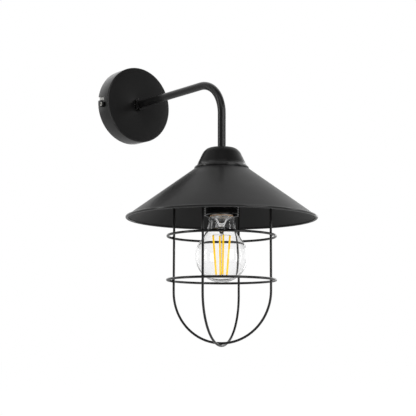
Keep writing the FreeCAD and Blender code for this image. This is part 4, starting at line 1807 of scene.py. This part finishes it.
@dataclass
class Bulb(SubAssembly):
    """Screw-in globe bulb, in millimetres below the arm's axis."""

    body: str = "bulb"
    foot_body: str = "bulb_foot"
    pitch: float = 3.629
    thread_radius: float = 12.67
    thread_depth: float = 0.47
    thread_bore: float = 11.6
    thread_levels: tuple[float, float] = (-139.6, -155.6)
    globe: float = 30.0
    globe_centre: float = -206.5
    globe_join: float = 125.0
    glass_wall: float = 0.8
    mouth: tuple[tuple[float, float], ...] = ((13.15, -161.0), (15.2, -162.0), (15.9, -163.4))
    neck: tuple[float, float] = (17.3, -175.0)
    neck_handles: tuple[tuple[float, float], ...] = ((16.2, -167.0), (16.9, -172.0), (17.9, -180.0))
    join_handle: float = 5.5
    stem_wall: float = 0.8
    stem_curve: tuple[tuple[float, float], ...] = (
        (11.6, -162.0), (6.0, -164.0), (3.6, -168.0), (3.4, -174.0))
    stem_hollow: tuple[Corner, ...] = (Corner(0.0, -172.5), Corner(1.8, -172.5, 0.8))
    stem_seat: tuple[Corner, ...] = (Corner(11.2, -161.3), Corner(12.0, -161.3, 0.2))
    stem_press: tuple[Corner, ...] = (
        Corner(3.4, -174.0), Corner(3.3, -179.5, 0.8), Corner(2.4, -181.2, 0.8),
        Corner(0.0, -181.2))
    press_level: float = -176.5
    press_squeeze: tuple[float, float, float] = (0.95, 0.55, 1.0)
    filament_top: float = -182.4
    filament_end: float = -228.2
    top_reach: float = 9.9
    bottom_reach: float = 6.2
    turn: float = -28.0
    count: int = 4
    lead: float = 0.25
    tab: float = 0.95
    strip: float = 1.1
    strip_inset: float = 0.65
    grit: float = 0.12
    contact: tuple[Corner, ...] = (
        Corner(0.0, -133.2), Corner(2.0, -133.22), Corner(4.2, -133.4), Corner(4.9, -133.75),
        Corner(5.0, -134.05), Corner(0.0, -134.05))
    insulator: tuple[Corner, ...] = (
        Corner(0.0, -134.0), Corner(5.0, -134.0, 0.2), Corner(5.9, -135.4, 1.0),
        Corner(9.2, -136.9, 0.2), Corner(9.2, -137.2), Corner(0.0, -137.2))
    shoulder: tuple[Corner, ...] = (
        Corner(9.1, -137.0, 0.15), Corner(10.6, -137.0, 0.6), Corner(12.35, -139.7),
        Corner(11.7, -139.7), Corner(10.3, -137.6), Corner(9.1, -137.4))
    collar: tuple[Corner, ...] = (
        Corner(12.6, -155.5), Corner(13.15, -156.6, 0.4), Corner(13.15, -159.8, 0.15),
        Corner(12.7, -159.8, 0.1), Corner(12.3, -156.0))
    cement: tuple[Corner, ...] = (
        Corner(11.95, -159.8), Corner(13.35, -159.8), Corner(13.45, -160.4), Corner(13.3, -161.0),
        Corner(11.95, -161.0))

    def base(self) -> None:
        """Contact, insulator and threaded cap."""
        contact = turned("base_contact", self.contact, HEAD, 48, 50.0)
        SubAssembly(self.foot_body).dress(contact, SOLDER, "bulb_contact")
        insulator = turned("base_insulator", self.insulator, HEAD, 64)
        self.dress(insulator, BLACK_GLASS, "bulb_insulator")
        tooth = round_tooth(self.thread_radius, self.thread_depth)
        thread = threaded("cap_thread", tooth, self.pitch, *self.thread_levels,
                          self.thread_bore, 64)
        parts = [thread, turned("tool", self.shoulder), turned("tool", self.collar)]
        self.dress(joined("cap_thread", parts), CAP_METAL, "bulb_cap")

    def cement_ring(self) -> None:
        """Ring of cement between cap and glass, rough where it shows."""
        line = [HEAD.at(c.r, c.h) for c in self.cement + self.cement[:1]]
        ring = Workpiece.dot("base_cement", line[0])
        ring.draw(line)
        ring.spin_all(HEAD, 72)
        ring.merge()
        ring.pick(lambda p: p.z < -160.2 * MM and HEAD.radius(p) > 12.5)
        bpy.ops.transform.vertex_random(offset=self.grit * MM, seed=7)
        self.dress(ring.finish(ROUND_SMOOTH), CEMENT, "bulb_cement")

    def glass_face(self, inset: float) -> list[Corner]:
        """Profile of one face of the glass, from the neck to the pole.

        Args:
            inset: Distance inside the outer face.

        Returns:
            The corners.
        """
        def inside(point: tuple[float, float]) -> tuple[float, float]:
            """Point of the outer face, moved in."""
            return point[0] - inset, point[1]

        centre, r = self.globe_centre, self.globe - inset
        t = math.radians(self.globe_join)
        join = (r * math.sin(t), centre - r * math.cos(t))
        handle = (join[0] + math.cos(t) * self.join_handle,
                  join[1] + math.sin(t) * self.join_handle)
        first, second, third = (inside(point) for point in self.neck_handles)
        neck, lip = inside(self.neck), inside(self.mouth[-1])
        line = [Corner(*inside(point)) for point in self.mouth]
        line += flow(lip, first, second, neck, 4) + [Corner(*neck)]
        line += flow(neck, third, handle, join, 7) + arc((0.0, centre), r, 35.0, -90.0, 30)
        return line[:-1] + [Corner(0.0, centre - r)]

    def glass(self) -> None:
        """Blow the globe on its tapering neck."""
        outer, inner = self.glass_face(0.0), self.glass_face(self.glass_wall)
        points = [HEAD.at(c.r, c.h) for c in outer + inner[::-1]]
        piece = Workpiece.dot("globe", points[0])
        piece.draw(points[:len(outer)])
        piece.pick(lambda p: (p - points[0]).length < 1e-7)
        piece.draw([points[0]] + points[:len(outer) - 1:-1])
        piece.spin_all(HEAD, 96)
        self.dress(piece.finish(ROUND_SMOOTH), GLASS, "bulb_glass")

    def stem(self) -> None:
        """Hollow stem with its flare in the neck and its flat press."""
        flare = [Corner(*self.stem_curve[0])] + flow(*self.stem_curve, 8)
        hollow = [Corner(c.r - self.stem_wall, c.h) for c in flare[-2::-1]]
        section = [*self.stem_hollow, *hollow, *self.stem_seat, *flare, *self.stem_press]
        press = Workpiece.reopen(turned("stem_press", section, HEAD, 48, ROUND_SMOOTH))
        press.pick(lambda p: p.z < self.press_level * MM)
        press.scale(self.press_squeeze, HEAD.at(0, self.press_level))
        self.dress(press.finish(ROUND_SMOOTH), GLASS, "bulb_stem")

    def filaments(self) -> None:
        """Middle lead, and four strips on tabs between two stars of leads."""
        top, end = HEAD.at(0, self.filament_top), HEAD.at(0, self.filament_end)
        line = [HEAD.at(0, -181.0), HEAD.at(0, self.filament_end - self.lead)]
        parts, strips = [tubed("leads", line, [], self.lead, 12)], []
        for i in range(self.count):
            way = spoke(self.turn + 360.0 * i / self.count)
            high, low = top + way * (self.top_reach * MM), end + way * (self.bottom_reach * MM)
            for hub, tip in ((top, high), (end, low)):
                parts.append(tubed("lead", [hub, tip], [], self.lead, 12))
            down = (low - high).normalized()
            a, b = high + down * (self.strip_inset * MM), low - down * (self.strip_inset * MM)
            for tip, inward in ((a, down), (b, -down)):
                tab = [tip - inward * (0.5 * MM), tip + inward * (1.4 * MM)]
                parts.append(tubed("tab", tab, [], self.tab, 12))
            strips.append(tubed("filament_%d" % (i + 1), [a, b], [], self.strip, 16))
        self.dress(joined("leads", parts), LEAD, "bulb_leads")
        for strip in strips:
            self.dress(strip, PHOSPHOR, "bulb_filaments")

    def build(self) -> None:
        """Make the bulb."""
        self.base()
        self.cement_ring()
        self.glass()
        self.stem()
        self.filaments()


# ---------------------------------------------------------------- studio
@dataclass(frozen=True)
class Softbox:
    """Rectangular lamp, in metres, that faces a point."""

    name: str
    place: tuple[float, float, float]
    size: tuple[float, float]
    watts: float

    def hang(self, target: Vector) -> None:
        """Hang the lamp so that it faces a point.

        Args:
            target: The point.
        """
        bpy.ops.object.light_add(type="AREA", location=self.place)
        lamp = bpy.context.active_object
        lamp.name = self.name
        lamp.rotation_euler = (target - Vector(self.place)).to_track_quat("-Z", "Y").to_euler()
        lamp.data.shape = "RECTANGLE"
        lamp.data.size, lamp.data.size_y = self.size
        lamp.data.energy = self.watts


@dataclass
class Studio:
    """Camera, lamps, floor and white surroundings, in metres."""

    camera_place: tuple[float, float, float] = (-0.77072953, -1.10994939, -0.31068245)
    camera_turn: tuple[float, float, float] = (1.7030, -0.0033, -0.6837)
    lens: float = 91.32795
    floor_level: float = -0.62
    floor_size: float = 30.0
    floor_tone: float = 0.93
    ambient: float = 0.4
    front: float = 0.15
    fade: tuple[float, float] = (-0.15, 0.75)
    backdrop: tuple[float, float, float] = (0.62, 0.77, 0.10)
    target: tuple[float, float, float] = (0.0, -0.14, -0.14)
    lamps: tuple[Softbox, ...] = field(default_factory=lambda: (
        Softbox("left_strip", (-1.46, 0.50, 0.0), (0.25, 1.6), 5.6),
        Softbox("front_strip", (0.03, -1.73, 0.0), (0.7, 1.6), 8.8),
        Softbox("right_strip", (1.20, -1.10, 0.0), (0.25, 1.6), 3.4),
        Softbox("far_strip", (1.49, 0.44, 0.0), (0.3, 1.6), 2.4),
        Softbox("left_top", (-1.12, 0.03, 0.99), (0.9, 0.9), 1.4),
        Softbox("front_top", (-0.71, -1.02, 0.99), (0.9, 0.9), 1.8)))

    def camera(self) -> None:
        """Set up the camera of the photograph."""
        bpy.ops.object.camera_add(location=self.camera_place, rotation=self.camera_turn)
        camera = bpy.context.active_object
        camera.name = "camera"
        camera.data.sensor_width = 36.0
        camera.data.lens = self.lens
        camera.data.clip_start = 0.01
        bpy.context.scene.camera = camera

    def surroundings(self) -> None:
        """White to the eye and dim as a light.

        Gloss and glass see it white behind the object and dim before it.
        """
        world = bpy.data.worlds.new("surroundings")
        bpy.context.scene.world = world
        world.use_nodes = True
        mixer = Mixer(world.node_tree)
        background = mixer.tree.nodes["Background"]
        rays = mixer.node("ShaderNodeLightPath")
        seen = mixer.wire(rays, "Is Camera Ray")
        gloss = mixer.wire(rays, "Is Glossy Ray")
        glass = mixer.wire(rays, "Is Transmission Ray")
        way = mixer.out("ShaderNodeTexCoord", {}, {}, "Generated")
        facing = mixer.out("ShaderNodeVectorMath", {"operation": "DOT_PRODUCT"},
                           {0: way, 1: self.backdrop}, "Value")
        behind = mixer.out("ShaderNodeMapRange", {"interpolation_type": "SMOOTHSTEP"},
                           {0: facing, 1: self.fade[0], 2: self.fade[1], 3: self.front, 4: 1.0})
        lit = gloss.maths("MAXIMUM", gloss, glass)
        strength = seen.maths("MAXIMUM", seen, behind * lit + self.ambient * (1.0 - lit))
        background.inputs["Color"].default_value = (1.0, 1.0, 1.0, 1.0)
        mixer.tree.links.new(strength.socket, background.inputs["Strength"])

    def floor(self) -> None:
        """Pale floor that keeps the object's shadow, and is open to a view from below."""
        clear_bench()
        bpy.ops.mesh.primitive_plane_add(size=self.floor_size,
                                         location=(0.0, 0.0, self.floor_level))
        floor = bpy.context.active_object
        floor.name = "floor"
        recipe = Recipe("floor")
        recipe.set(Base_Color=(self.floor_tone,) * 3, Roughness=0.9, Specular_IOR_Level=0.0)
        seen = recipe.wire(recipe.node("ShaderNodeLightPath"), "Is Camera Ray")
        fill = 1.0 - self.floor_tone * self.ambient
        glow = recipe.out("ShaderNodeEmission", {},
                          {"Color": (1.0, 1.0, 1.0, 1.0), "Strength": seen * fill})
        both = recipe.out("ShaderNodeAddShader", {}, {0: recipe.wire(recipe.shader), 1: glow})
        under = recipe.out("ShaderNodeNewGeometry", {}, {}, "Backfacing")
        clear = recipe.out("ShaderNodeBsdfTransparent")
        open_below = recipe.out("ShaderNodeMixShader", {}, {0: under, 1: both, 2: clear})
        recipe.tree.links.new(open_below.socket, recipe.sink.inputs["Surface"])
        floor.data.materials.append(recipe.material)

    def build(self) -> None:
        """Set up the studio round the object."""
        clear_bench()
        self.camera()
        for lamp in self.lamps:
            lamp.hang(Vector(self.target))
        self.floor()
        self.surroundings()
        bpy.context.scene.view_settings.view_transform = "Standard"


def main() -> None:
    """Build the sub-assemblies from the wall to the bulb, then the studio."""
    logging.basicConfig(level=logging.INFO, format="%(message)s")
    for assembly in (WallRose(), Arm(), Wiring(), Head(), Lampholder(), Cage(), Bulb()):
        LOG.info("building %s", type(assembly).__name__)
        assembly.build()
    clear_bench()
    Studio().build()


if __name__ == "__main__":
    main()
